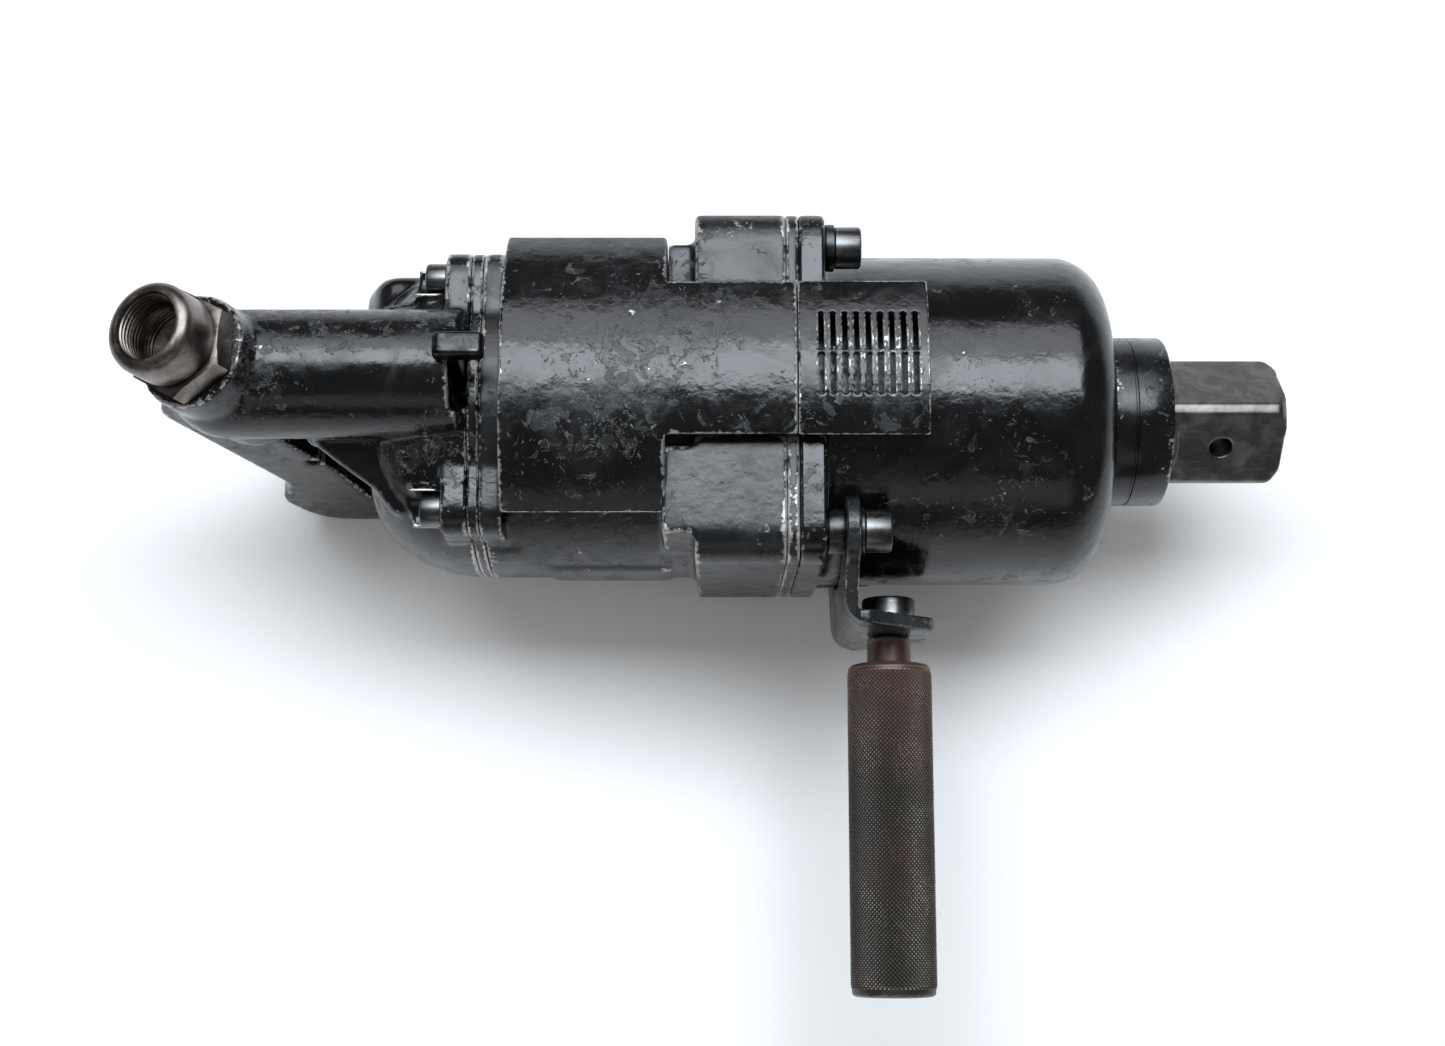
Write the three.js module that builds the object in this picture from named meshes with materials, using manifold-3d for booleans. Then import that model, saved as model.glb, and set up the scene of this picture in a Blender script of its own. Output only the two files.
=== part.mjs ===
// Heavy air impact wrench with a 1-1/2 inch square drive, a D-shaped rear handle and a side handle.
// Millimetres. X runs along the spindle, out through the drive square, Z is up, and the origin is the
// centre of the square's end face. The rear casting, the exhaust cowls and the air inlet are clocked
// a few degrees about the spindle, so they are drawn upright in one group that is then turned.
import * as THREE from 'three';
import { mergeVertices } from 'three/addons/utils/BufferGeometryUtils.js';
import Module from 'manifold-3d';

const wasm = await Module();
wasm.setup();

// ---------------------------------------------------------------- driving dimensions
const GAP = 0.3;                        // running or seating gap between neighbouring pieces
const SLIP = 0.6;                       // looser gap, round things that turn or swing
const CLOCKING = 5.5 * Math.PI / 180;   // handle, cowls and inlet turned about the spindle

const drive = { side: 38.1, corner: 25, length: 46.4, chamfer: 3.5, pinHole: 4.5, pinHoleX: -24.7 };
const spindle = { radius: 23, tail: 10, flange: 30, core: 20, jaw: 26, jawHalf: 11 };
const spindleX = { flangeFront: -95, flangeRear: -102, jawRear: -176, coreRear: -179 };
const DRIVE_CLOCKING = -46.8 * Math.PI / 180;

const nose = { radius: 34, shank: 29, front: -drive.length - GAP, face: -72, depth: 20 };
const hammerCase = { radius: 66, wall: 10, front: nose.face, fillet: 20, noseWall: 12, rear: -194.4,
  noseBore: 46, noseTaper: 12 };
const frontFlange = { thick: 10.4, boltCircle: 78, upper: 45, lower: 140, ear: 12.5 };
const gasket = { rear: 4.4, inset: 1.5, lip: 2 };

const housing = { radius: 63, bore: 50, front: -199, rear: -314.6, earsTo: -233.5, stepTo: -243.7,
  stepDown: 11 };
const rearFlange = { thick: 8.6, boltCircle: 64, upper: 45, lower: 135, ear: 10.3, backheadThick: 10 };

const liner = { bore: 44, offset: 3.5, wallTo: housing.bore - GAP, front: -214, rear: -300 };
const rotor = { radius: 40, shaft: 12, slot: 4.1, slotDepth: 16, vanes: 6 };
const vane = { thick: 3.5, tall: 14, sunk: 0.4 };
const ports = { at: [-270, -288], housingHalf: 5, housingWide: 22, linerHalf: 4, linerWide: 12, from: 20,
  to: 90 };
const endPlate = { front: 10, rear: 10.5 };
const bearing = { outer: 24, width: 8 };

const hammer = { inner: 27.5, outer: 40, length: 28, pinRadius: 6, pinAt: 42, lug: 50, lugWide: 9,
  lugHalf: 10, relief: 2.5, apart: 2 };
const cage = { radius: 51, plate: 8, web: 15, front: -106, rear: -188 };

const cowl = { radius: 80, wall: 3.5, seat: housing.radius + GAP, halfWide: 43.9, halfNarrow: 22.4,
  sideWall: 3, clear: 0.4, touch: 0.1, beyond: 110 };
const cowlX = { rear: -305.7, step: -244, seam: -195, front: -146.6, passageFront: -150 };
const louvre = { first: -186.6, pitch: 4.35, width: 1.9, columns: 9, inner: 0.45, outer: 11.6 };

const arm = { radius: 24.5, height: 55.25, front: -322, rear: -409.5, webRear: -340, webFrom: 20, bore: 12 };
const inlet = { x: -418.5, z: 80, tilt: 21 * Math.PI / 180, boss: 22, bossDepth: 48, bore: 13.3,
  boreDepth: 32 };
const bushing = { hexAcross: 36.6, hexHigh: 9, radius: 17.7, high: 27, shank: 12.7, bore: 12.5, below: 14,
  throat: 9.8, throatTop: 2, taper: 3 };
const screen = { deep: 15, mouth: 12.5, end: 10, wall: 1.3 };
const handle = { half: 14.5, round: 9, rear: -362 };
// Corners [x, z, radius] in the upright plane through the inlet: the D-shaped loop and its opening.
const loop = {
  outer: [[-333, 66, 14], [-430, 66, 16], [-437, 50, 16], [-405, -42, 16], [-414, -62, 16],
    [-402, -93, 28], [-352, -93, 26], [-333, -60, 16]],
  opening: [[handle.rear, 30, 9], [handle.rear, -30, 20], [-354, -63, 12], [-374, -63, 9], [-383, -20, 20],
    [-401, 30, 11]],
};
// The rear casting: its dome as [x, radius], and the two raised housings cast onto it.
const dome = [[-338, 59.5], [-349, 54], [-357, 46], [handle.rear + 1, 38], [handle.rear, 31]];
const lug = { rear: -342, inset: 1, inward: 0.97, pocket: 2.2, outward: 1.03 };
const chest = { half: 18.5, y: 32.5, round: 7,
  corners: [[-327, 34, 10], [-358, 34, 12], [-366, 18, 12], [-366, -24, 12], [-350, -34, 12],
    [-327, -34, 10]] };
const shoulder = { from: 31, thick: 20, round: 5, spread: 4, slope: 17 * Math.PI / 180, across: 13,
  corners: [[-332, 22, 6], [-372, 20, 8], [-382, -17, 8], [-368, -28, 12], [-357, -36, 8], [-350, -46, 8],
    [-332, -48, 6]] };
const passages = { rear: -389, front: -343, chamber: 28, chamberZ: -8, chamberRear: -340, feed: 3.5,
  delivery: 3, valveRear: -352 };
const trigger = { x: -390, z: -10, half: 6.5, pin: 2.5, eye: 5.6, back: 12.5 };
const throttle = { z: 20, radius: 7, stem: 3.5, head: -420, shoulder: -411, boreRear: -431, boreFront: -380,
  springRadius: 5, wire: 0.8, turns: 3 };
const lever = { pivotZ: 42, spindle: 9, thick: 4, rear: -323.7, tabHalf: 4.5, tabFrom: 81, tabTo: 89,
  tabX: [-329, -310], reach: 50, valveRear: -351, notch: [-347, -338],
  swing: 28 * Math.PI / 180 };

const frontScrew = { radius: 5, head: 8, headHigh: 10, reach: 26, washer: 3.3,
  thinWasher: 1.5, washerRadius: 9 };
const rearScrew = { radius: 4, head: 6.5, headHigh: 8, reach: 22 };
const bracket = { thick: 5.2, spacer: 6.5, spacerRadius: 8.5, lobe: 13, half: 44, endHalf: 20,
  room: 1.5, flare: 5 };
const sideHandle = { x: -157, footY: -82.8, footEnd: -140.8, neck: 8.65, neckLong: 10.7, bore: 60,
  screwLong: 66, hex: 5.8 };
const sideGrip = { radius: 16.8, end: -227, round: 2.5, bore: 6, screwHead: 10.5, headHigh: 10 };

const FINE = 24;      // sides of a large round
const MEDIUM = 12;
const SMALL = 8;
const PAST = 1;       // how far a drill or a cutter runs past the face that it goes through

// ---------------------------------------------------------------- finishes
const finish = {
  enamel: { color: 0x121316, roughness: 0.28, metalness: 0.3 },
  collar: { color: 0x0b0b0d, roughness: 0.2, metalness: 0.4 },
  oxide: { color: 0x26272a, roughness: 0.45, metalness: 0.8 },
  steel: { color: 0x7c766e, roughness: 0.42, metalness: 1 },
  brightSteel: { color: 0x9c9a96, roughness: 0.3, metalness: 1 },
  iron: { color: 0x55565a, roughness: 0.6, metalness: 0.9 },
  knurl: { color: 0x2a1f1c, roughness: 0.6, metalness: 0.6 },
  rubber: { color: 0x101010, roughness: 0.8, metalness: 0 },
  paper: { color: 0x3a3834, roughness: 0.9, metalness: 0 },
  vaneResin: { color: 0x6b4a2a, roughness: 0.7, metalness: 0 },
};

// ---------------------------------------------------------------- solids
// A closed geometry as a solid: shared vertices are merged and the faces are made to point outwards.
function solid(geometry) {
  geometry.deleteAttribute('normal');
  geometry.deleteAttribute('uv');
  const merged = mergeVertices(geometry, 1e-4);
  const vertProperties = Float32Array.from(merged.attributes.position.array);
  const triVerts = [];
  for (let i = 0; i < merged.index.count; i += 3) {
    const [a, b, c] = [0, 1, 2].map((k) => merged.index.array[i + k]);
    if (a !== b && b !== c && c !== a) triVerts.push(a, b, c);
  }
  const build = () => new wasm.Manifold(new wasm.Mesh(
    { numProp: 3, vertProperties, triVerts: Uint32Array.from(triVerts) }));
  const made = build();
  if (made.volume() > 0) return made;
  triVerts.reverse();
  return build();
}

function join(...pieces) {
  return pieces.reduce((whole, piece) => whole.add(piece));
}

function cut(body, ...tools) {
  return tools.reduce((left, tool) => left.subtract(tool), body);
}

// A profile of [x, radius] points revolved about a line parallel to X through (y, z).
function turned(profile, sides = FINE, y = 0, z = 0) {
  const geometry = new THREE.LatheGeometry(profile.map(([x, r]) => new THREE.Vector2(r, x)), sides);
  geometry.rotateZ(-Math.PI / 2);
  geometry.translate(0, y, z);
  return solid(geometry);
}

function rod(x0, x1, radius, sides = FINE, y = 0, z = 0) {
  return turned([[x0, 0], [x0, radius], [x1, radius], [x1, 0]], sides, y, z);
}

function ring(x0, x1, inner, outer, sides = FINE, y = 0, z = 0) {
  return turned([[x0, inner], [x0, outer], [x1, outer], [x1, inner], [x0, inner]], sides, y, z);
}

function block(x0, x1, y0, y1, z0, z1) {
  const geometry = new THREE.BoxGeometry(x1 - x0, y1 - y0, z1 - z0);
  geometry.translate((x0 + x1) / 2, (y0 + y1) / 2, (z0 + z1) / 2);
  return solid(geometry);
}

// A cylinder between two points.
function bar(from, to, radius, sides = MEDIUM) {
  const [a, b] = [new THREE.Vector3(...from), new THREE.Vector3(...to)];
  const along = b.clone().sub(a);
  const geometry = new THREE.CylinderGeometry(radius, radius, along.length(), sides);
  const turn = new THREE.Quaternion().setFromUnitVectors(new THREE.Vector3(0, 1, 0), along.normalize());
  geometry.applyQuaternion(turn);
  geometry.translate(...a.add(b).multiplyScalar(0.5).toArray());
  return solid(geometry);
}

// An outline in the Y-Z plane pushed out along X.
function plateAcross(shape, x0, x1, curveSegments = 8) {
  const geometry = new THREE.ExtrudeGeometry(shape, { depth: x1 - x0, bevelEnabled: false, curveSegments });
  geometry.applyMatrix4(new THREE.Matrix4().makeBasis(
    new THREE.Vector3(0, 1, 0), new THREE.Vector3(0, 0, 1), new THREE.Vector3(1, 0, 0)));
  geometry.translate(x0, 0, 0);
  return solid(geometry);
}

// An outline in the X-Z plane pushed out both ways along Y, with rounded edges if round is given.
function plateAlong(shape, half, round = 0, curveSegments = 4) {
  const geometry = new THREE.ExtrudeGeometry(shape, {
    depth: 2 * (half - round), bevelEnabled: round > 0, bevelThickness: round, bevelSize: round,
    bevelOffset: -round, bevelSegments: 2, curveSegments,
  });
  geometry.applyMatrix4(new THREE.Matrix4().makeBasis(
    new THREE.Vector3(1, 0, 0), new THREE.Vector3(0, 0, 1), new THREE.Vector3(0, -1, 0)));
  geometry.translate(0, half - round, 0);
  return solid(geometry);
}

// A closed outline through corners given as [u, v, radius].
function outline(corners, Kind = THREE.Shape) {
  const shape = new Kind();
  const count = corners.length;
  corners.forEach(([u, v, radius = 0], i) => {
    const corner = new THREE.Vector2(u, v);
    const toward = (j) => new THREE.Vector2(...corners[(j + count) % count].slice(0, 2)).sub(corner);
    const [before, after] = [toward(i - 1), toward(i + 1)];
    const halfTurn = Math.abs(Math.PI - Math.abs(before.angleTo(after))) / 2;
    const back = Math.min(radius * Math.tan(halfTurn), before.length() * 0.49, after.length() * 0.49);
    const start = corner.clone().add(before.normalize().multiplyScalar(back));
    const end = corner.clone().add(after.normalize().multiplyScalar(back));
    if (i === 0) shape.moveTo(start.x, start.y);
    else shape.lineTo(start.x, start.y);
    if (radius > 0) shape.quadraticCurveTo(u, v, end.x, end.y);
  });
  shape.closePath();
  return shape;
}

// The four bolt centres [y, z] of a flange: upper left, upper right, lower right, lower left.
function boltsOf({ boltCircle, upper, lower }) {
  return [upper, -upper, -lower, lower].map((degrees) => {
    const angle = degrees * Math.PI / 180;
    return [boltCircle * Math.sin(angle), boltCircle * Math.cos(angle)];
  });
}

// The outline of a tight band round four equal circles at the bolt centres, in the Y-Z plane.
function roundBolts(bolts, radius) {
  const shape = new THREE.Shape();
  bolts.forEach(([y, z], i) => {
    const [before, after] = [bolts[(i + 3) % 4], bolts[(i + 1) % 4]];
    const from = Math.atan2(before[0] - y, z - before[1]);
    const to = Math.atan2(y - after[0], after[1] - z);
    shape.absarc(y, z, radius, from, to < from ? to + 2 * Math.PI : to, false);
  });
  shape.closePath();
  return shape;
}

// A sector of a ring, symmetric about +Z, in the Y-Z plane.
function sector(inner, outer, halfDegrees) {
  const half = halfDegrees * Math.PI / 180;
  const shape = new THREE.Shape();
  shape.absarc(0, 0, outer, Math.PI / 2 - half, Math.PI / 2 + half, false);
  shape.absarc(0, 0, inner, Math.PI / 2 + half, Math.PI / 2 - half, true);
  shape.closePath();
  return shape;
}

function turnedAboutSpindle(shapeAngle, piece) {
  const geometry = toGeometry(piece);
  geometry.rotateX(shapeAngle);
  return solid(geometry);
}

function toGeometry(piece) {
  const mesh = piece.getMesh();
  const geometry = new THREE.BufferGeometry();
  const points = new Float32Array(mesh.numVert * 3);
  for (let i = 0; i < mesh.numVert; i++) {
    for (let k = 0; k < 3; k++) points[3 * i + k] = mesh.vertProperties[mesh.numProp * i + k];
  }
  geometry.setAttribute('position', new THREE.BufferAttribute(points, 3));
  geometry.setIndex(Array.from(mesh.triVerts));
  geometry.computeVertexNormals();
  return geometry;
}

// ---------------------------------------------------------------- the assembly and its groups
const group = new THREE.Group();
const clocked = new THREE.Group();          // upright pieces, turned together about the spindle
clocked.rotation.x = -CLOCKING;
group.add(clocked);
const inletAxis = new THREE.Group();        // local +Z runs out of the air inlet
inletAxis.position.set(inlet.x, 0, inlet.z);
inletAxis.rotation.y = -inlet.tilt;
clocked.add(inletAxis);

function piece(name, body, look, parent = group, place = [0, 0, 0]) {
  const mesh = new THREE.Mesh(toGeometry(body), new THREE.MeshStandardMaterial(finish[look]));
  mesh.name = name;
  mesh.position.set(...place);
  parent.add(mesh);
  return mesh;
}

const frontBolts = boltsOf(frontFlange);
const rearBolts = boltsOf(rearFlange);

// ---------------------------------------------------------------- drive end
function makeAnvil() {
  const half = drive.side / 2;
  const square = turnedAboutSpindle(-DRIVE_CLOCKING, block(-drive.length, 0, -half, half, -half, half));
  const corners = turned([[-drive.length, 0], [-drive.length, drive.corner], [-drive.chamfer, drive.corner],
    [0, drive.corner - drive.chamfer], [0, 0]]);
  const across = [0, Math.sin(DRIVE_CLOCKING), Math.cos(DRIVE_CLOCKING)];
  const reach = drive.corner + PAST;
  const hole = bar([drive.pinHoleX, -reach * across[1], -reach * across[2]],
    [drive.pinHoleX, reach * across[1], reach * across[2]], drive.pinHole, SMALL);
  const { radius, tail, flange, core, jaw, jawHalf } = spindle;
  const { flangeFront, flangeRear, jawRear, coreRear } = spindleX;
  const shaft = turned([
    [cage.rear, 0], [cage.rear, tail], [coreRear, tail], [coreRear, core], [flangeRear, core],
    [flangeRear, flange], [flangeFront, flange], [flangeFront, radius], [-drive.length, radius],
    [-drive.length, 0]]);
  const jaws = block(jawRear, flangeRear, -jaw, jaw, -jawHalf, jawHalf);
  const jawRound = rod(jawRear, flangeRear, jaw);
  return cut(join(square.intersect(corners), shaft, jaws.intersect(jawRound)), hole);
}

function makeHammerCase() {
  const { radius, wall, front, fillet, noseWall, noseBore, noseTaper, rear } = hammerCase;
  const bore = nose.shank + GAP;
  const edge = [0, 1, 2, 3, 4].map((i) => {
    const turn = i * Math.PI / 8;
    return [front - fillet + fillet * Math.cos(turn), radius - fillet + fillet * Math.sin(turn)];
  });
  const shell = turned([[front, bore], ...edge, [rear, radius], [rear, radius - wall],
    [front - noseWall - noseTaper, radius - wall], [front - noseWall, noseBore],
    [front - noseWall, bore], [front, bore]]);
  const ears = plateAcross(roundBolts(frontBolts, frontFlange.ear), rear, rear + frontFlange.thick, 3);
  const holes = frontBolts.map(([y, z]) =>
    rod(rear - PAST, rear + frontFlange.thick + PAST, frontScrew.radius + GAP, SMALL, y, z));
  const inside = rod(rear - PAST, rear + frontFlange.thick + PAST, radius - PAST);
  return cut(join(shell, cut(ears, inside)), cowlPassage(), ...holes);
}

// The room that the narrow part of the exhaust cowl takes across the flanges of both casings.
function cowlPassage() {
  const { seat, halfNarrow, clear, touch, beyond } = cowl;
  const rear = cowlX.step - 3;
  const passage = plateAcross(sector(hammerCase.radius + touch, beyond, halfNarrow + clear), rear,
    cowlX.passageFront);
  const lower = plateAcross(sector(seat, beyond, halfNarrow + clear), rear, housing.front + touch);
  return turnedAboutSpindle(-CLOCKING, join(passage, lower));
}

const sealAt = nose.front - 5;
piece('anvil', makeAnvil(), 'steel');
piece('nose_bushing', turned([
  [nose.front - 2, nose.radius], [nose.face + GAP, nose.radius], [nose.face + GAP, nose.shank],
  [nose.face - nose.depth, nose.shank], [nose.face - nose.depth, spindle.radius + GAP],
  [sealAt, spindle.radius + GAP], [sealAt, nose.shank - 1], [nose.front, nose.shank - 1],
  [nose.front, nose.radius - 2], [nose.front - 2, nose.radius]]), 'collar');
piece('nose_seal', ring(sealAt, nose.front - 1, spindle.radius + GAP, nose.shank - 1 - GAP), 'rubber');
piece('hammer_case', makeHammerCase(), 'enamel');

// ---------------------------------------------------------------- impact mechanism
function makeHammerFrame() {
  const { radius, plate, web, front, rear } = cage;
  const frontPlate = ring(front - plate, front, spindle.flange + SLIP, radius);
  const rearPlate = ring(rear - 1, rear + plate, rotor.shaft + GAP, radius);
  const inside = hammer.outer + SLIP + 1;
  const bars = plateAcross(sector(inside, radius, web), rear + 1, front - 1);
  const lower = turnedAboutSpindle(Math.PI, bars);
  const pins = [-1, 1].map((side) =>
    rod(rear - PAST, front + PAST, hammer.pinRadius + GAP, SMALL, side * hammer.pinAt, 0));
  return cut(join(frontPlate, rearPlate, bars, lower), ...pins);
}

function makeHammer(front, side) {
  const body = ring(front - hammer.length, front, hammer.inner, hammer.outer);
  const { pinRadius, pinAt, lug, lugWide, lugHalf } = hammer;
  const lugBlock = block(front - hammer.length, front, pinAt - lugWide, lug, -lugHalf, lugHalf);
  const lugSolid = lugBlock.intersect(rod(front - hammer.length, front, lug));
  const hole = rod(front - hammer.length - PAST, front + PAST, pinRadius + GAP, SMALL, pinAt, 0);
  const relief = rod(front - hammer.length - PAST, front + PAST, pinRadius + hammer.relief, SMALL, -pinAt, 0);
  const bore = rod(front - hammer.length - PAST, front + PAST, hammer.inner);
  return turnedAboutSpindle(side > 0 ? 0 : Math.PI, cut(join(body, lugSolid), hole, relief, bore));
}

const hammerFront = cage.front - cage.plate - PAST;
piece('hammer_frame', makeHammerFrame(), 'iron');
piece('front_hammer', makeHammer(hammerFront, 1), 'iron');
piece('rear_hammer', makeHammer(hammerFront - hammer.length - hammer.apart, -1), 'iron');
for (const [name, side] of [['hammer_pin_left', 1], ['hammer_pin_right', -1]]) {
  piece(name, rod(cage.rear, cage.front, hammer.pinRadius, SMALL, side * hammer.pinAt, 0), 'brightSteel');
}

// ---------------------------------------------------------------- motor
function makeMotorHousing() {
  const { radius, bore, front, rear, earsTo, stepTo, stepDown } = housing;
  const barrel = rod(rear, front, radius);
  const ears = plateAcross(roundBolts(frontBolts, frontFlange.ear), earsTo, front, 3);
  const step = plateAcross(roundBolts(frontBolts, frontFlange.ear - stepDown), stepTo, earsTo, 3);
  const back = plateAcross(roundBolts(rearBolts, rearFlange.ear), rear, rear + rearFlange.thick, 3);
  const screwHole = frontScrew.reach + 4;
  const holes = [
    ...frontBolts.map(([y, z]) =>
      rod(front - screwHole, front + PAST, frontScrew.radius + GAP, SMALL, y, z)),
    ...rearBolts.map(([y, z]) =>
      rod(rear - PAST, rear + rearFlange.thick + PAST, rearScrew.radius + GAP, SMALL, y, z))];
  const inside = rod(rear - PAST, front + PAST, radius - PAST);
  const outer = join(barrel, cut(join(ears, step, back), inside));
  return cut(outer, rod(rear - PAST, front + PAST, bore), cowlPassage(),
    ...exhaustPorts(ports.housingHalf, ports.housingWide), ...holes);
}

// Cutters for the slots through which the motor exhausts, half long along the spindle, wide across it.
function exhaustPorts(half, wide) {
  return ports.at.map((x) => turnedAboutSpindle(-CLOCKING,
    block(x - half, x + half, -wide, wide, ports.from, ports.to)));
}

function makeLiner() {
  const outside = rod(liner.rear, liner.front, liner.wallTo);
  const inside = rod(liner.rear - PAST, liner.front + PAST, liner.bore, FINE, 0, liner.offset);
  return cut(outside, inside, ...exhaustPorts(ports.linerHalf, ports.linerWide));
}

function makeRotor() {
  const [rear, front] = [liner.rear + 0.5, liner.front - 0.5];
  const body = turned([[housing.rear + 1, 0], [housing.rear + 1, rotor.shaft], [rear, rotor.shaft],
    [rear, rotor.radius], [front, rotor.radius], [front, rotor.shaft],
    [cage.rear - GAP, rotor.shaft], [cage.rear - GAP, 0]]);
  const slot = block(rear - PAST, front + PAST, -rotor.slot / 2, rotor.slot / 2,
    rotor.radius - rotor.slotDepth, rotor.radius + PAST);
  return cut(body, ...around(rotor.vanes, slot));
}

function around(count, part) {
  return Array.from({ length: count }, (_, i) => turnedAboutSpindle(i * 2 * Math.PI / count, part));
}

piece('motor_housing', makeMotorHousing(), 'enamel');
piece('cylinder_liner', makeLiner(), 'iron');
piece('rotor', makeRotor(), 'brightSteel');
const vaneTop = rotor.radius - vane.sunk;
around(rotor.vanes, block(liner.rear + 1, liner.front - 1, -vane.thick / 2, vane.thick / 2,
  vaneTop - vane.tall, vaneTop)).forEach((body, i) => piece(`vane_${i + 1}`, body, 'vaneResin'));

const plateX = {
  front: [liner.front + GAP, liner.front + GAP + endPlate.front],
  rear: [liner.rear - GAP - endPlate.rear, liner.rear - GAP],
};
for (const [end, [x0, x1]] of Object.entries(plateX)) {
  const middle = (x0 + x1) / 2;
  const half = bearing.width / 2;
  const [seat0, seat1] = end === 'front' ? [middle - half, x1 + PAST] : [x0 - PAST, middle + half];
  piece(`${end}_end_plate`, cut(ring(x0, x1, rotor.shaft + 2, liner.wallTo),
    rod(seat0, seat1, bearing.outer + GAP)), 'iron');
  piece(`${end}_bearing`, ring(middle - half + GAP, middle + half - GAP, rotor.shaft + SLIP, bearing.outer,
    MEDIUM), 'brightSteel');
}

function makeGasket(bolts, ear, x0, x1, inner, round, screwRadius) {
  const body = join(plateAcross(roundBolts(bolts, ear - gasket.inset), x0, x1, 3), rod(x0, x1, round));
  const holes = bolts.map(([y, z]) => rod(x0 - PAST, x1 + PAST, screwRadius + GAP, SMALL, y, z));
  return cut(body, rod(x0 - PAST, x1 + PAST, inner), ...holes);
}

const frontGasket = makeGasket(frontBolts, frontFlange.ear, housing.front, hammerCase.rear,
  hammerCase.radius - hammerCase.wall, hammerCase.radius - gasket.lip, frontScrew.radius);
piece('front_gasket', cut(frontGasket, cowlPassage()), 'paper');
piece('rear_gasket', makeGasket(rearBolts, rearFlange.ear, housing.rear - gasket.rear, housing.rear,
  housing.bore, housing.radius - gasket.lip, rearScrew.radius), 'paper');

// ---------------------------------------------------------------- exhaust cowls
function makeShroud() {
  const { radius, wall, seat, halfWide, halfNarrow } = cowl;
  const front = cowlX.seam - GAP;
  const neckSeat = hammerCase.radius + SLIP;
  const skin = join(plateAcross(sector(seat, radius, halfWide), cowlX.rear, cowlX.step),
    plateAcross(sector(neckSeat, radius, halfNarrow), cowlX.step - 1, front),
    plateAcross(sector(seat + GAP, radius, halfNarrow), cowlX.step - 1, housing.earsTo));
  const inner = radius - wall;
  const side = cowl.sideWall;
  const hollow = join(
    plateAcross(sector(seat / 2, inner, halfWide - side), cowlX.rear + wall, cowlX.step - wall),
    plateAcross(sector(seat / 2, inner, halfNarrow - side), cowlX.step - wall - PAST, front + PAST));
  return cut(skin, hollow);
}

function makeLouvreCover() {
  const { radius, wall, halfNarrow } = cowl;
  const seat = hammerCase.radius + SLIP;
  const box = plateAcross(sector(seat, radius, halfNarrow), cowlX.seam, cowlX.front);
  const hollow = plateAcross(sector(seat / 2, radius - wall, halfNarrow - cowl.sideWall),
    cowlX.seam - PAST, cowlX.front - wall);
  const slots = [];
  for (let column = 0; column < louvre.columns; column++) {
    const x = louvre.first + column * louvre.pitch;
    for (const side of [-1, 1]) {
      const middle = side * (louvre.inner + louvre.outer) / 2;
      const half = (louvre.outer - louvre.inner) / 2;
      const slot = plateAcross(sector(radius - 2 * wall, radius + wall, half), x - louvre.width / 2,
        x + louvre.width / 2, 2);
      slots.push(turnedAboutSpindle(middle * Math.PI / 180, slot));
    }
  }
  return cut(box, hollow, ...slots);
}

piece('motor_shroud', makeShroud(), 'enamel', clocked);
piece('exhaust_louvre_cover', makeLouvreCover(), 'enamel', clocked);

// ---------------------------------------------------------------- backhead with its handle
const headX = { front: housing.rear - gasket.rear };
headX.rear = headX.front - rearFlange.backheadThick;

// A point in the upright X-Z plane at a distance out along the inlet axis and across it.
function onInletAxis(out, across = 0) {
  const [s, c] = [Math.sin(inlet.tilt), Math.cos(inlet.tilt)];
  return [inlet.x - out * s + across * c, 0, inlet.z + out * c + across * s];
}

function makeHandleLoop() {
  const outer = outline(loop.outer);
  outer.holes.push(outline(loop.opening, THREE.Path));
  return plateAlong(outer, handle.half, handle.round);
}

function makeShoulder() {
  const { from, thick, round, spread, slope, across, corners } = shoulder;
  const geometry = new THREE.ExtrudeGeometry(outline(corners), {
    depth: thick - 2 * round, bevelEnabled: true, bevelThickness: round, bevelSize: spread,
    bevelOffset: -spread, bevelSegments: 2, curveSegments: 4,
  });
  geometry.translate(0, 0, from + round);
  geometry.rotateX(slope);
  geometry.translate(0, across, 0);
  return solid(geometry);
}

function makeBackheadShell() {
  const { ear } = rearFlange;
  const shell = turned([[headX.front, 0], [headX.front, housing.radius], [headX.rear, housing.radius - 1],
    ...dome, [handle.rear, 0]]);
  const flange = plateAcross(roundBolts(rearBolts, ear), headX.rear, headX.front, 3);
  const lugs = rearBolts.map(([y, z]) =>
    rod(lug.rear, headX.front, ear - lug.inset, SMALL, y * lug.inward, z * lug.inward));
  const scallops = rearBolts.map(([y, z]) => rod(inlet.x, headX.rear, rearScrew.head + lug.pocket, MEDIUM,
    y * lug.outward, z * lug.outward));
  const bolted = turnedAboutSpindle(CLOCKING,
    cut(join(shell, flange, ...lugs, makeShoulder()), ...scallops));
  const chestGeometry = toGeometry(plateAlong(outline(chest.corners), chest.half, chest.round));
  chestGeometry.translate(0, chest.y, 0);
  return join(bolted, solid(chestGeometry));
}

// A cylinder across the grip on the trigger's axis.
function acrossGrip(half, radius) {
  return bar([trigger.x, -half, trigger.z], [trigger.x, half, trigger.z], radius, SMALL);
}

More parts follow.
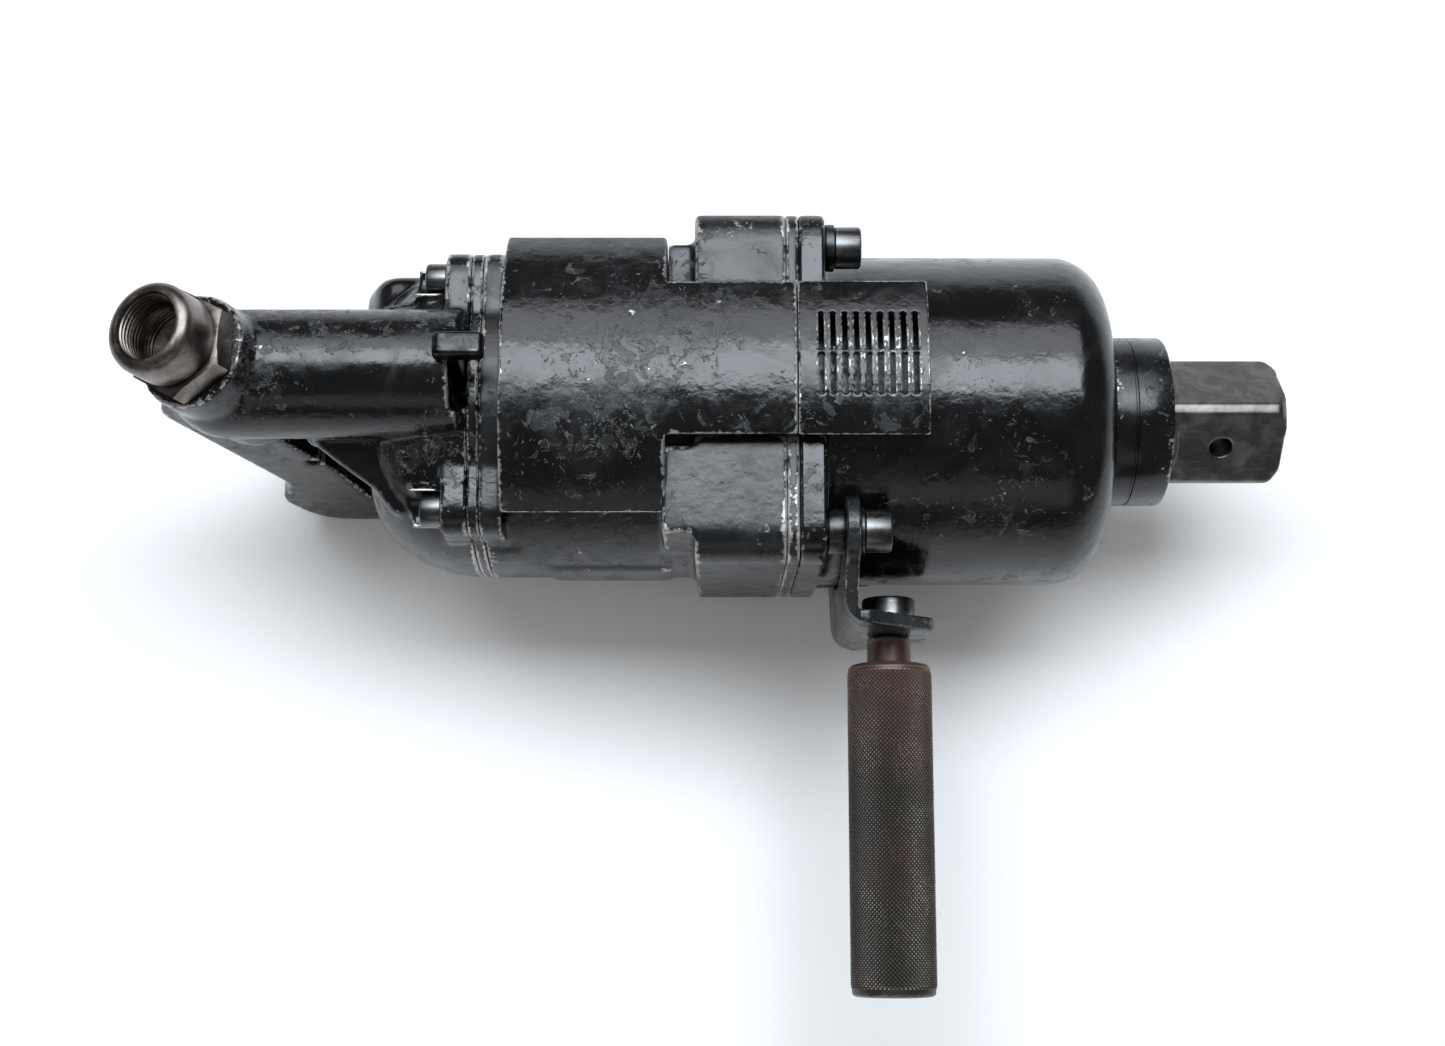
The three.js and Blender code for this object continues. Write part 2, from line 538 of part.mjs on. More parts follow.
function makeBackhead() {
  const upperArm = join(rod(arm.rear, arm.front, arm.radius, FINE, 0, arm.height),
    block(arm.webRear, arm.front - PAST, -arm.radius, arm.radius, arm.webFrom, arm.height));
  const boss = bar(onInletAxis(0), onInletAxis(-inlet.bossDepth), inlet.boss, FINE);
  const dish = [0, 1, 2, 3, 4].map((i) => i * Math.PI / 8).map((turn) =>
    [arm.rear - arm.radius * Math.cos(turn), arm.radius * Math.sin(turn)]);
  const knuckle = turned([...dish, [arm.rear + PAST, arm.radius], [arm.rear + PAST, 0]], FINE, 0, arm.height);
  const castBody = join(makeBackheadShell(), upperArm, boss, knuckle, makeHandleLoop());
  const inletBore = bar(onInletAxis(PAST), onInletAxis(-inlet.boreDepth), inlet.bore);
  const passage = rod(passages.rear, passages.front, arm.bore, MEDIUM, 0, arm.height);
  const valveBore = rod(passages.valveRear, headX.front + PAST, lever.spindle + SLIP, MEDIUM, 0,
    lever.pivotZ);
  const chamber = rod(passages.chamberRear, headX.front + PAST, passages.chamber, MEDIUM, 0,
    passages.chamberZ);
  const leverSlot = makeLeverSlot();
  const triggerSlot = plateAlong(outline([[trigger.x - 8, trigger.z - 7, 4], [trigger.x + 26, trigger.z - 7],
    [trigger.x + 26, 33], [throttle.shoulder, 33, 3]]), trigger.half + GAP);
  const valveHole = rod(throttle.boreRear, throttle.boreFront, throttle.radius + GAP, MEDIUM, 0, throttle.z);
  const feed = bar(onInletAxis(4 - inlet.boreDepth, -6), [throttle.head - PAST, 0, throttle.z],
    passages.feed, SMALL);
  const delivery = bar([throttle.shoulder, 0, throttle.z], [passages.rear + 3, 0, arm.height - 5],
    passages.delivery, SMALL);
  const pinHole = acrossGrip(handle.half + PAST, trigger.pin + GAP);
  const holes = rearBolts.map(([y, z]) => turnedAboutSpindle(CLOCKING,
    rod(lug.rear - PAST, headX.front + PAST, rearScrew.radius + GAP, SMALL, y, z)));
  return cut(castBody, inletBore, passage, valveBore, chamber, leverSlot, triggerSlot, valveHole,
    feed, delivery, pinHole, ...holes);
}

// The fan-shaped room that the reversing lever swings in, open at the top.
function makeLeverSlot() {
  const side = lever.tabHalf + SLIP;
  const { reach } = lever;
  const [s, c] = [Math.sin(lever.swing), Math.cos(lever.swing)];
  const fan = outline([[side, lever.pivotZ], [side, lever.pivotZ + reach],
    [-side * c - reach * s, lever.pivotZ - side * s + reach * c], [-side * c, lever.pivotZ - side * s]]);
  const hub = rod(lever.rear - GAP, headX.front + PAST, lever.spindle + 2 * GAP, MEDIUM, 0, lever.pivotZ);
  return join(plateAcross(fan, lever.rear - GAP, headX.front + PAST), hub);
}

piece('backhead_handle', makeBackhead(), 'enamel', clocked);

// ---------------------------------------------------------------- air inlet and throttle
const hexReach = bushing.hexAcross / 2 / Math.cos(Math.PI / 6);
function upright(profile, sides = FINE) {
  return solid(new THREE.LatheGeometry(profile.map(([r, z]) => new THREE.Vector2(r, z)), sides)
    .rotateX(Math.PI / 2));
}

function makeInletBushing() {
  const { hexHigh, radius, high, shank, bore, below, throat, throatTop, taper } = bushing;
  const hex = solid(new THREE.CylinderGeometry(hexReach, hexReach, hexHigh, 6)
    .rotateX(Math.PI / 2).translate(0, 0, GAP + hexHigh / 2));
  const crown = hexHigh + GAP + 1;
  const bevel = upright([[0, GAP], [hexReach - 1, GAP], [hexReach - 1, hexHigh - 1], [radius + 1, crown],
    [0, crown]]);
  const barrel = upright([[0, -below], [shank, -below], [shank, GAP + 1], [radius - 1, GAP + 1],
    [radius - 1, hexHigh], [radius, hexHigh + 3], [radius, high - 4], [radius - 1.2, high - 1.2],
    [radius - 2.5, high], [0, high]]);
  const hole = upright([[0, -below - PAST], [throat, -below - PAST], [throat, throatTop],
    [bore, throatTop + taper], [bore, high - PAST], [bore + PAST, high + PAST], [0, high + PAST]]);
  return cut(join(hex.intersect(bevel), barrel), hole);
}

function makeInletScreen() {
  const { deep, mouth, end, wall } = screen;
  const [top, bottom] = [-bushing.below - GAP, -bushing.below - deep];
  return upright([[0, bottom], [end, bottom], [mouth, top], [mouth - wall, top], [end - wall, bottom + wall],
    [0, bottom + wall]], MEDIUM);
}

piece('inlet_bushing', makeInletBushing(), 'steel', inletAxis);
piece('inlet_screen', makeInletScreen(), 'brightSteel', inletAxis);

function makeTrigger() {
  const { x, z, half, eye, pin, back } = trigger;
  const blade = plateAlong(outline([[x - 4, z - 4, 3], [x + 5, z - 4, 3], [x + 6.5, z + 14, 8],
    [x + 2, z + 36, 6], [x - back + 0.5, z + 39, 3], [x - back, z + 30, 3]]), half, 1, 3);
  const boss = bar([x, -half, z], [x, half, z], eye, MEDIUM);
  return cut(join(blade, boss), acrossGrip(handle.half, pin + GAP));
}

piece('throttle_trigger', makeTrigger(), 'oxide', clocked);
piece('trigger_pin', acrossGrip(handle.half - 1.5, trigger.pin), 'brightSteel', clocked);
piece('throttle_valve', join(rod(throttle.head, throttle.shoulder, throttle.radius, MEDIUM, 0, throttle.z),
  rod(throttle.shoulder - PAST, trigger.x - trigger.back - 2 * GAP, throttle.stem, SMALL, 0, throttle.z)),
'brightSteel', clocked);

function makeSpring(x0, x1, radius, wire, turns) {
  const steps = turns * 8;
  const points = Array.from({ length: steps + 1 }, (_, i) => new THREE.Vector3(
    x0 + wire + (x1 - x0 - 2 * wire) * i / steps,
    radius * Math.cos(i * Math.PI / 4), throttle.z + radius * Math.sin(i * Math.PI / 4)));
  const section = new THREE.Shape().absarc(0, 0, wire, 0, Math.PI * 2, false);
  return solid(new THREE.ExtrudeGeometry(section, {
    steps, curveSegments: 5, bevelEnabled: false, extrudePath: new THREE.CatmullRomCurve3(points) }));
}

piece('throttle_spring', makeSpring(throttle.boreRear + 0.4, throttle.head - GAP, throttle.springRadius,
  throttle.wire, throttle.turns), 'brightSteel', clocked);

// ---------------------------------------------------------------- reversing valve
function makeReverseLever() {
  const { pivotZ, spindle, thick, rear, tabHalf, tabFrom, tabTo } = lever;
  const hub = rod(rear, rear + thick, spindle, MEDIUM, 0, pivotZ);
  const blade = block(rear, rear + thick, -tabHalf, tabHalf, pivotZ, tabTo - 1);
  const [tabRear, tabFront] = lever.tabX;
  const tab = plateAlong(outline([[tabRear, tabFrom, 2], [tabFront, tabFrom, 3], [tabFront, tabTo, 3],
    [tabRear, tabTo, 4]]), tabHalf, 1, 3);
  return join(hub, blade, tab);
}

piece('reverse_lever', makeReverseLever(), 'oxide', clocked);
piece('reverse_valve', cut(rod(lever.valveRear, lever.rear - GAP, lever.spindle, MEDIUM, 0, lever.pivotZ),
  block(...lever.notch, -lever.spindle, lever.spindle, lever.pivotZ + 3, lever.pivotZ + lever.spindle)),
'brightSteel', clocked);

// ---------------------------------------------------------------- fasteners
const SOCKET = 0.55;  // a key socket's size, as a share of its screw head
function socketScrew(x, y, z, way, { radius, head, headHigh, reach }) {
  const top = x + way * headHigh;
  const headBody = turned([[x, 0], [x, head], [top - way, head], [top, head - 1], [top, 0]], MEDIUM, y, z);
  const ends = [x - way * reach, x + way];
  const shank = rod(Math.min(...ends), Math.max(...ends), radius, SMALL, y, z);
  const key = SOCKET * head;
  const socket = solid(new THREE.CylinderGeometry(key, key, 2 * SOCKET * headHigh, 6)
    .rotateZ(Math.PI / 2).translate(top, y, z));
  return cut(join(headBody, shank), socket);
}

const earFace = hammerCase.rear + frontFlange.thick;
const bracketX = { rear: earFace + bracket.spacer + GAP };
bracketX.front = bracketX.rear + bracket.thick;
['upper_left', 'upper_right', 'lower_right', 'lower_left'].forEach((name, i) => {
  const [y, z] = frontBolts[i];
  const onBracket = y < 0;
  const washerX = GAP + (onBracket ? bracketX.front : earFace);
  const washer = onBracket ? frontScrew.thinWasher : frontScrew.washer;
  piece(`lock_washer_${name}`, ring(washerX, washerX + washer, frontScrew.radius + GAP,
    frontScrew.washerRadius, MEDIUM, y, z), 'oxide');
  const under = washerX + washer + GAP;
  piece(`front_screw_${name}`, socketScrew(under, y, z, 1,
    { ...frontScrew, reach: under - housing.front + frontScrew.reach }), 'oxide');
  if (onBracket) {
    piece(`bracket_spacer_${name}`, ring(earFace + GAP, bracketX.rear - GAP, frontScrew.radius + GAP,
      bracket.spacerRadius, MEDIUM, y, z), 'oxide');
  }
  piece(`rear_screw_${name}`, socketScrew(headX.rear - GAP, ...rearBolts[i], -1, rearScrew), 'oxide');
});

// ---------------------------------------------------------------- side handle
function makeBracket() {
  const { thick, lobe, half, endHalf, room, flare } = bracket;
  const { x, footY, footEnd } = sideHandle;
  const bend = footY - thick;
  const [upper, lower] = [frontBolts[1], frontBolts[2]];
  const lobes = [upper, lower].map(([y, z]) => rod(bracketX.rear, bracketX.front, lobe, MEDIUM, y, z));
  const leg = plateAcross(outline([[lower[0], lower[1] - lobe + 1], [upper[0], upper[1] + lobe - 1],
    [upper[0] - lobe + 1, upper[1] + 2, 8], [bend + 1, half], [bend + 1, -half],
    [lower[0] - lobe - 3, lower[1] - 2, 8]]), bracketX.rear, bracketX.front);
  const flaredTo = bracketX.front + flare;
  const foot = new THREE.ExtrudeGeometry(outline([[bracketX.rear, -half, 3], [flaredTo, -half, 3],
    [footEnd, -endHalf, 7], [footEnd, endHalf, 7], [flaredTo, half, 3], [bracketX.rear, half, 3]]),
  { depth: thick, bevelEnabled: false, curveSegments: 5 });
  foot.applyMatrix4(new THREE.Matrix4().makeBasis(
    new THREE.Vector3(1, 0, 0), new THREE.Vector3(0, 0, 1), new THREE.Vector3(0, -1, 0)));
  foot.translate(0, footY, 0);
  const caseRoom = rod(bracketX.rear - PAST, bracketX.front + PAST, hammerCase.radius + room);
  const holes = [upper, lower].map(([y, z]) => rod(bracketX.rear - PAST, bracketX.front + PAST,
    frontScrew.radius + GAP, SMALL, y, z));
  const stud = bar([x, footY + PAST, 0], [x, bend - PAST, 0], sideGrip.bore + GAP, MEDIUM);
  return cut(join(leg, ...lobes, solid(foot)), caseRoom, ...holes, stud);
}

// A piece of the side handle, turned about the line through its screw, as [distance, radius] points.
function turnedOnHandle(profile, sides = MEDIUM) {
  const geometry = new THREE.LatheGeometry(profile.map(([out, r]) => new THREE.Vector2(r, out)), sides);
  geometry.rotateZ(Math.PI);
  geometry.translate(sideHandle.x, 0, 0);
  return solid(geometry);
}

const underFoot = -sideHandle.footY + bracket.thick + GAP;
const gripFrom = underFoot + sideHandle.neckLong;
const { radius: gripRadius, end: gripEnd, round: gripRound, bore: gripBore } = sideGrip;
piece('side_handle_bracket', makeBracket(), 'enamel');
piece('side_handle_grip', turnedOnHandle([[underFoot, gripBore + GAP], [underFoot, sideHandle.neck],
  [gripFrom, sideHandle.neck], [gripFrom, gripRadius - gripRound], [gripFrom + gripRound, gripRadius],
  [-gripEnd - gripRound, gripRadius], [-gripEnd, gripRadius - gripRound], [-gripEnd, 0],
  [-gripEnd - sideHandle.bore, 0], [-gripEnd - sideHandle.bore, gripBore + GAP],
  [underFoot, gripBore + GAP]], FINE), 'knurl');
const headFace = -sideHandle.footY - GAP;
const headTop = headFace - sideGrip.headHigh;
piece('side_handle_screw', cut(turnedOnHandle([[headTop, 0], [headTop, sideGrip.screwHead - 1],
  [headTop + 1, sideGrip.screwHead], [headFace, sideGrip.screwHead], [headFace, gripBore],
  [-gripEnd - sideHandle.screwLong, gripBore], [-gripEnd - sideHandle.screwLong, 0]]),
solid(new THREE.CylinderGeometry(sideHandle.hex, sideHandle.hex, 2 * SOCKET * sideGrip.headHigh, 6)
  .translate(sideHandle.x, -headTop, 0))), 'oxide');

export default group;
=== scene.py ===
# %% [markdown]
# # A heavy air impact wrench, piece by piece
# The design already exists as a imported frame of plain, facetted solids that move. This lesson dresses
# it: each casting, screw and grip is made again as a fine mesh in the same place, and each gets a
# finish. Everything is in metres, X runs out along the spindle and Z is up.

# %% Load the frame
import math
import bpy
import bmesh
import numpy as np
from mathutils import Matrix, Vector


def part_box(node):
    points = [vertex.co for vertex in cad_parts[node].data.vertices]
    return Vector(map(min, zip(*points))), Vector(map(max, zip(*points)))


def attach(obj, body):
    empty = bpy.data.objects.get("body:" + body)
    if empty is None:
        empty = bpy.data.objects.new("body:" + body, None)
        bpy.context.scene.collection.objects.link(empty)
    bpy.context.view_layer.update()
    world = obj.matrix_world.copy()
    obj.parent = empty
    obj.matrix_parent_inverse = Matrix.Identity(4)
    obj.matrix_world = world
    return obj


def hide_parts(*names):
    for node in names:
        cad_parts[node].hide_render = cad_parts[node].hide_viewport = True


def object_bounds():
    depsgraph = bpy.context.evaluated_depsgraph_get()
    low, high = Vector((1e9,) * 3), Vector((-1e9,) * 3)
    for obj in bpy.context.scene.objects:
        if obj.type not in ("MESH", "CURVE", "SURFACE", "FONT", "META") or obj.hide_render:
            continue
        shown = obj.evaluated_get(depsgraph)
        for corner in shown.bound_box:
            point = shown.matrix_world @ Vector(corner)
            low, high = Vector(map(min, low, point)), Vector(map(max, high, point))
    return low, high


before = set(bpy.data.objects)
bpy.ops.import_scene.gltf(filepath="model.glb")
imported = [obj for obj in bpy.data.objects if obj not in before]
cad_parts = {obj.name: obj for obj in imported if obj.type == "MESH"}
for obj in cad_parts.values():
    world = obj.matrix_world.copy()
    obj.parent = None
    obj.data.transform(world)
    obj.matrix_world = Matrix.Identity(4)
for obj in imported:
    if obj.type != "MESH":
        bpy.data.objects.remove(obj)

MM = 0.001
design_box = [list(corner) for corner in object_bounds()]
print("design box", design_box, "nodes", len(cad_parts))

# %% [markdown]
# ## The stage
# The tool lies on a white table and is seen from above, a little from the side of its side handle.
# Black gloss needs something broad and bright to mirror, which is the overhead box. The room's bounce
# lights the table and the tool but is kept out of reflections, and the sheen shows only in them. The
# plain view transform keeps the white table white.

# %% Camera, floor and light
VIEW_TILT = math.radians(10.7)
camera_data = bpy.data.cameras.new("camera")
camera_data.lens = 49.83
camera_data.sensor_width = 36
camera = bpy.data.objects.new("camera", camera_data)
camera.location = (-0.223, -0.1908, 0.7893)
camera.rotation_euler = (VIEW_TILT, 0, 0)
bpy.context.collection.objects.link(camera)
bpy.context.scene.camera = camera
bpy.context.scene.view_settings.view_transform = "Standard"


def soft_box(name, place, aim, size, power, tint=(1, 1, 1)):
    light = bpy.data.lights.new(name, "AREA")
    light.shape = "RECTANGLE"
    light.size, light.size_y = size
    light.energy = power
    light.color = tint
    lamp = bpy.data.objects.new(name, light)
    lamp.location = place
    lamp.rotation_euler = (Vector(aim) - Vector(place)).to_track_quat("-Z", "Y").to_euler()
    bpy.context.collection.objects.link(lamp)
    return lamp


floor_level = design_box[0][2]
soft_box("overhead", (-0.2, 0.40, 1.25), (-0.2, 0.0, 0.0), (1.5, 0.55), 25, (0.86, 0.93, 1.0))
soft_box("front_fill", (-0.3, -1.3, 0.7), (-0.2, 0, 0), (1.2, 0.5), 1.0)
room_bounce = soft_box("room_bounce", (-0.2, 0.0, 2.4), (-0.2, 0, 0), (5, 5), 38, (1.0, 0.99, 0.97))
room_bounce.visible_glossy = False
sheen = soft_box("sheen", (-0.2, 0.85, 0.95), (-0.2, 0.0, 0.0), (1.5, 0.5), 8, (0.92, 0.95, 1.0))
sheen.visible_diffuse = False
world = bpy.data.worlds.new("pale_room")
world.use_nodes = True
world.node_tree.nodes["Background"].inputs["Color"].default_value = (0.96, 0.98, 1.0, 1)
world.node_tree.nodes["Background"].inputs["Strength"].default_value = 0.13
bpy.context.scene.world = world

# %% [markdown]
# ## Shader sums written as Python
# A finish is mostly arithmetic on noise. Wrapping a socket in a small class lets that arithmetic be
# written as ordinary expressions, and each operator adds the Math node that it stands for.

# %% Sockets that can be added and multiplied
class Signal:
    """A number that varies over a surface: one socket of a shader graph."""

    def __init__(self, finish, socket):
        self.finish = finish
        self.socket = socket

    def math(self, operation, *others):
        return self.finish.add("ShaderNodeMath", {"operation": operation}, self, *others)

    def __add__(self, other):
        return self.math("ADD", other)

    def __sub__(self, other):
        return self.math("SUBTRACT", other)

    def __mul__(self, other):
        return self.math("MULTIPLY", other)

    def __rsub__(self, other):
        return self.finish.add("ShaderNodeMath", {"operation": "SUBTRACT"}, other, self)

    __radd__ = __add__
    __rmul__ = __mul__

    def ramp(self, low, high):
        """0 below low, 1 above high, smooth between."""
        return self.finish.add("ShaderNodeMapRange", {"interpolation_type": "SMOOTHSTEP"}, self, low, high)

    def band(self, middle, width):
        """1 on the line where the signal equals middle, 0 a little away from it."""
        return 1 - ((self - middle).math("ABSOLUTE")).ramp(0, width)

    def limit(self):
        return self.math("MINIMUM", 1.0).math("MAXIMUM", 0.0)


class Finish:
    """A material and the nodes in it."""

    def __init__(self, name):
        self.material = bpy.data.materials.new(name)
        self.material.use_nodes = True
        self.tree = self.material.node_tree
        self.shader = self.tree.nodes["Principled BSDF"]
        place = self.add("ShaderNodeTexCoord", {}, output="Object")
        self.mm = self.add("ShaderNodeVectorMath", {"operation": "SCALE"}, place, output="Vector",
                           Scale=1 / MM)

    def add(self, kind, settings, *values, output=0, **named):
        """Any node: its settings first, then what goes into its sockets, by order or by name."""
        node = self.tree.nodes.new(kind)
        for key, value in settings.items():
            setattr(node, key, value)
        for key, value in [*enumerate(values), *named.items()]:
            self.feed(node.inputs[key], value)
        return Signal(self, node.outputs[output])

    def feed(self, socket, value):
        if isinstance(value, Signal):
            self.tree.links.new(value.socket, socket)
        else:
            socket.default_value = value

    def noise(self, size_mm, detail=2.0, roughness=0.5, distortion=0.0, stretch=(1, 1, 1), shift=0.0):
        """Noise whose blotches are about size_mm across; shift picks another patch of it."""
        spot = self.add("ShaderNodeVectorMath", {"operation": "MULTIPLY_ADD"}, self.mm,
                        tuple(s / size_mm for s in stretch), (shift, shift * 0.7, shift * 1.3),
                        output="Vector")
        return self.add("ShaderNodeTexNoise", {}, Vector=spot, Scale=1.0, Detail=detail,
                        Roughness=roughness, Distortion=distortion)

    def attribute(self, name):
        return self.add("ShaderNodeAttribute", {"attribute_name": name}, output="Fac")

    def blend(self, amount, below, above):
        """Colour below where amount is 0, above where it is 1."""
        node = self.tree.nodes.new("ShaderNodeMix")
        node.data_type = "RGBA"
        for socket, value in zip((0, 6, 7), (amount, below, above)):
            self.feed(node.inputs[socket], value)
        return Signal(self, node.outputs[2])

    def bump(self, height_mm):
        """Surface relief from a height in millimetres."""
        relief = self.add("ShaderNodeBump", {}, Height=height_mm, Distance=MM, Strength=1.0)
        self.feed(self.shader.inputs["Normal"], relief)

    def set(self, **sockets):
        for name, value in sockets.items():
            self.feed(self.shader.inputs[name.replace("_", " ")], value)


def grey(value, warm=0.0):
    return (value * (1 + warm), value, value * (1 - warm), 1)


print("signals ready")

# %% [markdown]
# ## Shapes that every piece is made from
# Most of this tool is turned, sawn from plate, or cast. A turned piece is a profile swept round an
# axis. A plate is an outline pushed out. A casting is several such shapes melted together: they are
# joined, remeshed into small even squares and smoothed, which rounds each edge as a foundry does.

# %% Turned pieces and plates
def mesh_object(name, points, faces):
    mesh = bpy.data.meshes.new(name)
    mesh.from_pydata([tuple(p) for p in points], [], faces)
    body = bpy.data.objects.new(name, mesh)
    bpy.context.collection.objects.link(body)
    tool = bmesh.new()
    tool.from_mesh(mesh)
    bmesh.ops.remove_doubles(tool, verts=tool.verts, dist=1e-7)
    bmesh.ops.recalc_face_normals(tool, faces=tool.faces)
    tool.to_mesh(mesh)
    tool.free()
    return body


def turned(profile, sides=96, centre=(0.0, 0.0)):
    """Sweeps (x, radius) pairs, in mm, round a line parallel to X through centre (y, z)."""
    points, faces = [], []
    closed = profile[0] == profile[-1]
    rows = profile[:-1] if closed else profile
    for x, radius in rows:
        for i in range(sides):
            turn = 2 * math.pi * i / sides
            points.append((x * MM, (centre[0] + radius * math.cos(turn)) * MM,
                           (centre[1] + radius * math.sin(turn)) * MM))
    spans = len(rows) if closed else len(rows) - 1
    for row in range(spans):
        low, high = row * sides, (row + 1) % len(rows) * sides
        for i in range(sides):
            j = (i + 1) % sides
            faces.append((low + i, low + j, high + j, high + i))
    return mesh_object("turned", points, faces)


def rod(x0, x1, radius, centre=(0.0, 0.0), sides=64):
    return turned([(x0, 0), (x0, radius), (x1, radius), (x1, 0)], sides, centre)


def ring(x0, x1, inner, outer, centre=(0.0, 0.0), sides=64):
    return turned([(x0, inner), (x0, outer), (x1, outer), (x1, inner), (x0, inner)], sides, centre)


def arc(centre, radius, start, end, steps=8):
    """Points on a circle, from start to end in degrees."""
    angles = [math.radians(start + (end - start) * i / steps) for i in range(steps + 1)]
    return [(centre[0] + radius * math.cos(a), centre[1] + radius * math.sin(a)) for a in angles]


def rounded(corners, steps=7):
    """An outline through (u, v, radius) corners, each cut by a smooth curve."""
    outline = []
    count = len(corners)
    for i, (u, v, radius) in enumerate(corners):
        here = Vector((u, v))
        before = Vector(corners[i - 1][:2]) - here
        after = Vector(corners[(i + 1) % count][:2]) - here
        if radius == 0:
            outline.append((u, v))
            continue
        half = (math.pi - before.angle(after)) / 2
        back = min(radius * math.tan(half), before.length * 0.49, after.length * 0.49)
        start, end = here + before.normalized() * back, here + after.normalized() * back
        for k in range(steps + 1):
            t = k / steps
            spot = start * (1 - t) ** 2 + here * 2 * t * (1 - t) + end * t ** 2
            outline.append(tuple(spot))
    return outline


def pushed(outline, low, high, along):
    """Pushes an outline out along an axis: its (u, v) are the other two axes, in X, Y, Z order."""
    place = {"X": lambda u, v, w: (w, u, v), "Y": lambda u, v, w: (u, w, v), "Z": lambda u, v, w: (u, v, w)}
    count = len(outline)
    points = [[c * MM for c in place[along](u, v, w)] for w in (low, high) for u, v in outline]
    faces = [tuple(range(count)), tuple(range(count, 2 * count))]
    faces += [(i, (i + 1) % count, (i + 1) % count + count, i + count) for i in range(count)]
    return mesh_object("plate", points, faces)


def block(x0, x1, y0, y1, z0, z1):
    return pushed([(x0, y0), (x1, y0), (x1, y1), (x0, y1)], z0, z1, "Z")


def bar(start, end, radius, sides=48):
    """A cylinder between two points, in mm."""
    a, b = Vector(start), Vector(end)
    body = turned([(0, 0), (0, radius), ((b - a).length, radius), ((b - a).length, 0)], sides)
    turn = Vector((1, 0, 0)).rotation_difference(b - a).to_matrix().to_4x4()
    body.data.transform(Matrix.Translation(a * MM) @ turn)
    return body


print("shape makers ready")

# %% [markdown]
# The next helpers work on finished shapes. Cutting and joining use Blender's manifold solver, which
# is exact and quick on closed meshes. A modifier never stays on a piece: its result becomes the mesh.

# %% Joining, cutting and melting together
def settle(body):
    """Turns the result of a body's modifiers into its plain mesh."""
    graph = bpy.context.evaluated_depsgraph_get()
    mesh = bpy.data.meshes.new_from_object(body.evaluated_get(graph))
    body.modifiers.clear()
    body.data = mesh
    return body


def combine(body, others, operation):
    for other in others:
        change = body.modifiers.new(operation, "BOOLEAN")
        change.operation = operation
        change.solver = "MANIFOLD"
        change.object = other
        settle(body)
        bpy.data.objects.remove(other)
    return body


def join(body, *others):
    return combine(body, others, "UNION")


def cut(body, *others):
    return combine(body, others, "DIFFERENCE")


def common(body, *others):
    return combine(body, others, "INTERSECT")


def melt(body, grain, rounds, share=0.5):
    """Remeshes a shape into squares of grain mm and smooths it, as cast metal is."""
    remesh = body.modifiers.new("remesh", "REMESH")
    remesh.mode = "VOXEL"
    remesh.voxel_size = grain * MM
    smooth = body.modifiers.new("smooth", "SMOOTH")
    smooth.factor = share
    smooth.iterations = rounds
    return settle(body)


def bevel(body, width, segments=3, angle=35):
    edge = body.modifiers.new("bevel", "BEVEL")
    edge.width = width * MM
    edge.segments = segments
    edge.limit_method = "ANGLE"
    edge.angle_limit = math.radians(angle)
    edge.use_clamp_overlap = True
    return settle(body)


def turn_about_spindle(body, degrees):
    body.data.transform(Matrix.Rotation(math.radians(degrees), 4, "X"))
    return body


def smooth_faces(body, angle=None):
    """Smooth shading; with an angle, edges sharper than it stay crisp."""
    mesh = body.data
    mesh.shade_smooth()
    if angle is not None:
        mesh.set_sharp_from_angle(angle=math.radians(angle))
    return body


print("joining and melting ready")

# %% [markdown]
# ## Where metal rubs
# Paint wears off the corners that stand proud. How proud a point is can be measured: on a ridge its
# neighbours all lie below its tangent plane. That number is kept on the mesh as an attribute, and the
# finishes read it to bare the edges.

# %% Measuring the edges
def mark_wear(body, rounds=3, gain=4.0):
    mesh = body.data
    count = len(mesh.vertices)
    place = np.empty(count * 3)
    mesh.vertices.foreach_get("co", place)
    place = place.reshape(-1, 3)
    normal = np.empty(count * 3)
    mesh.vertex_normals.foreach_get("vector", normal)
    normal = normal.reshape(-1, 3)
    ends = np.empty(len(mesh.edges) * 2, dtype=int)
    mesh.edges.foreach_get("vertices", ends)
    a, b = ends.reshape(-1, 2).T
    step = place[a] - place[b]
    step /= np.maximum(np.linalg.norm(step, axis=1), 1e-9)[:, None]
    proud, links = np.zeros(count), np.zeros(count)
    np.add.at(proud, a, (normal[a] * step).sum(1))
    np.add.at(proud, b, -(normal[b] * step).sum(1))
    np.add.at(links, a, 1)
    np.add.at(links, b, 1)
    proud /= np.maximum(links, 1)
    for _ in range(rounds):
        total = np.zeros(count)
        np.add.at(total, a, proud[b])
        np.add.at(total, b, proud[a])
        proud = 0.4 * proud + 0.6 * total / np.maximum(links, 1)
    wear = mesh.attributes.new("wear", "FLOAT", "POINT")
    wear.data.foreach_set("value", np.clip(proud * gain, -1, 1).astype(np.float32))
    return body


print("wear gauge ready")

# %% [markdown]
# ## Finishes
# The castings wear a gloss black enamel that has been sprayed more than once. Where a layer chipped
# off, a duller charcoal one shows, with a bright rim at the break; on the corners the iron is bare.
# Three noises make this: a coarse one says where the trouble is, a fine one draws the chips, and the
# wear attribute brings out the edges. The rim is the thin band where the chip noise crosses its limit.

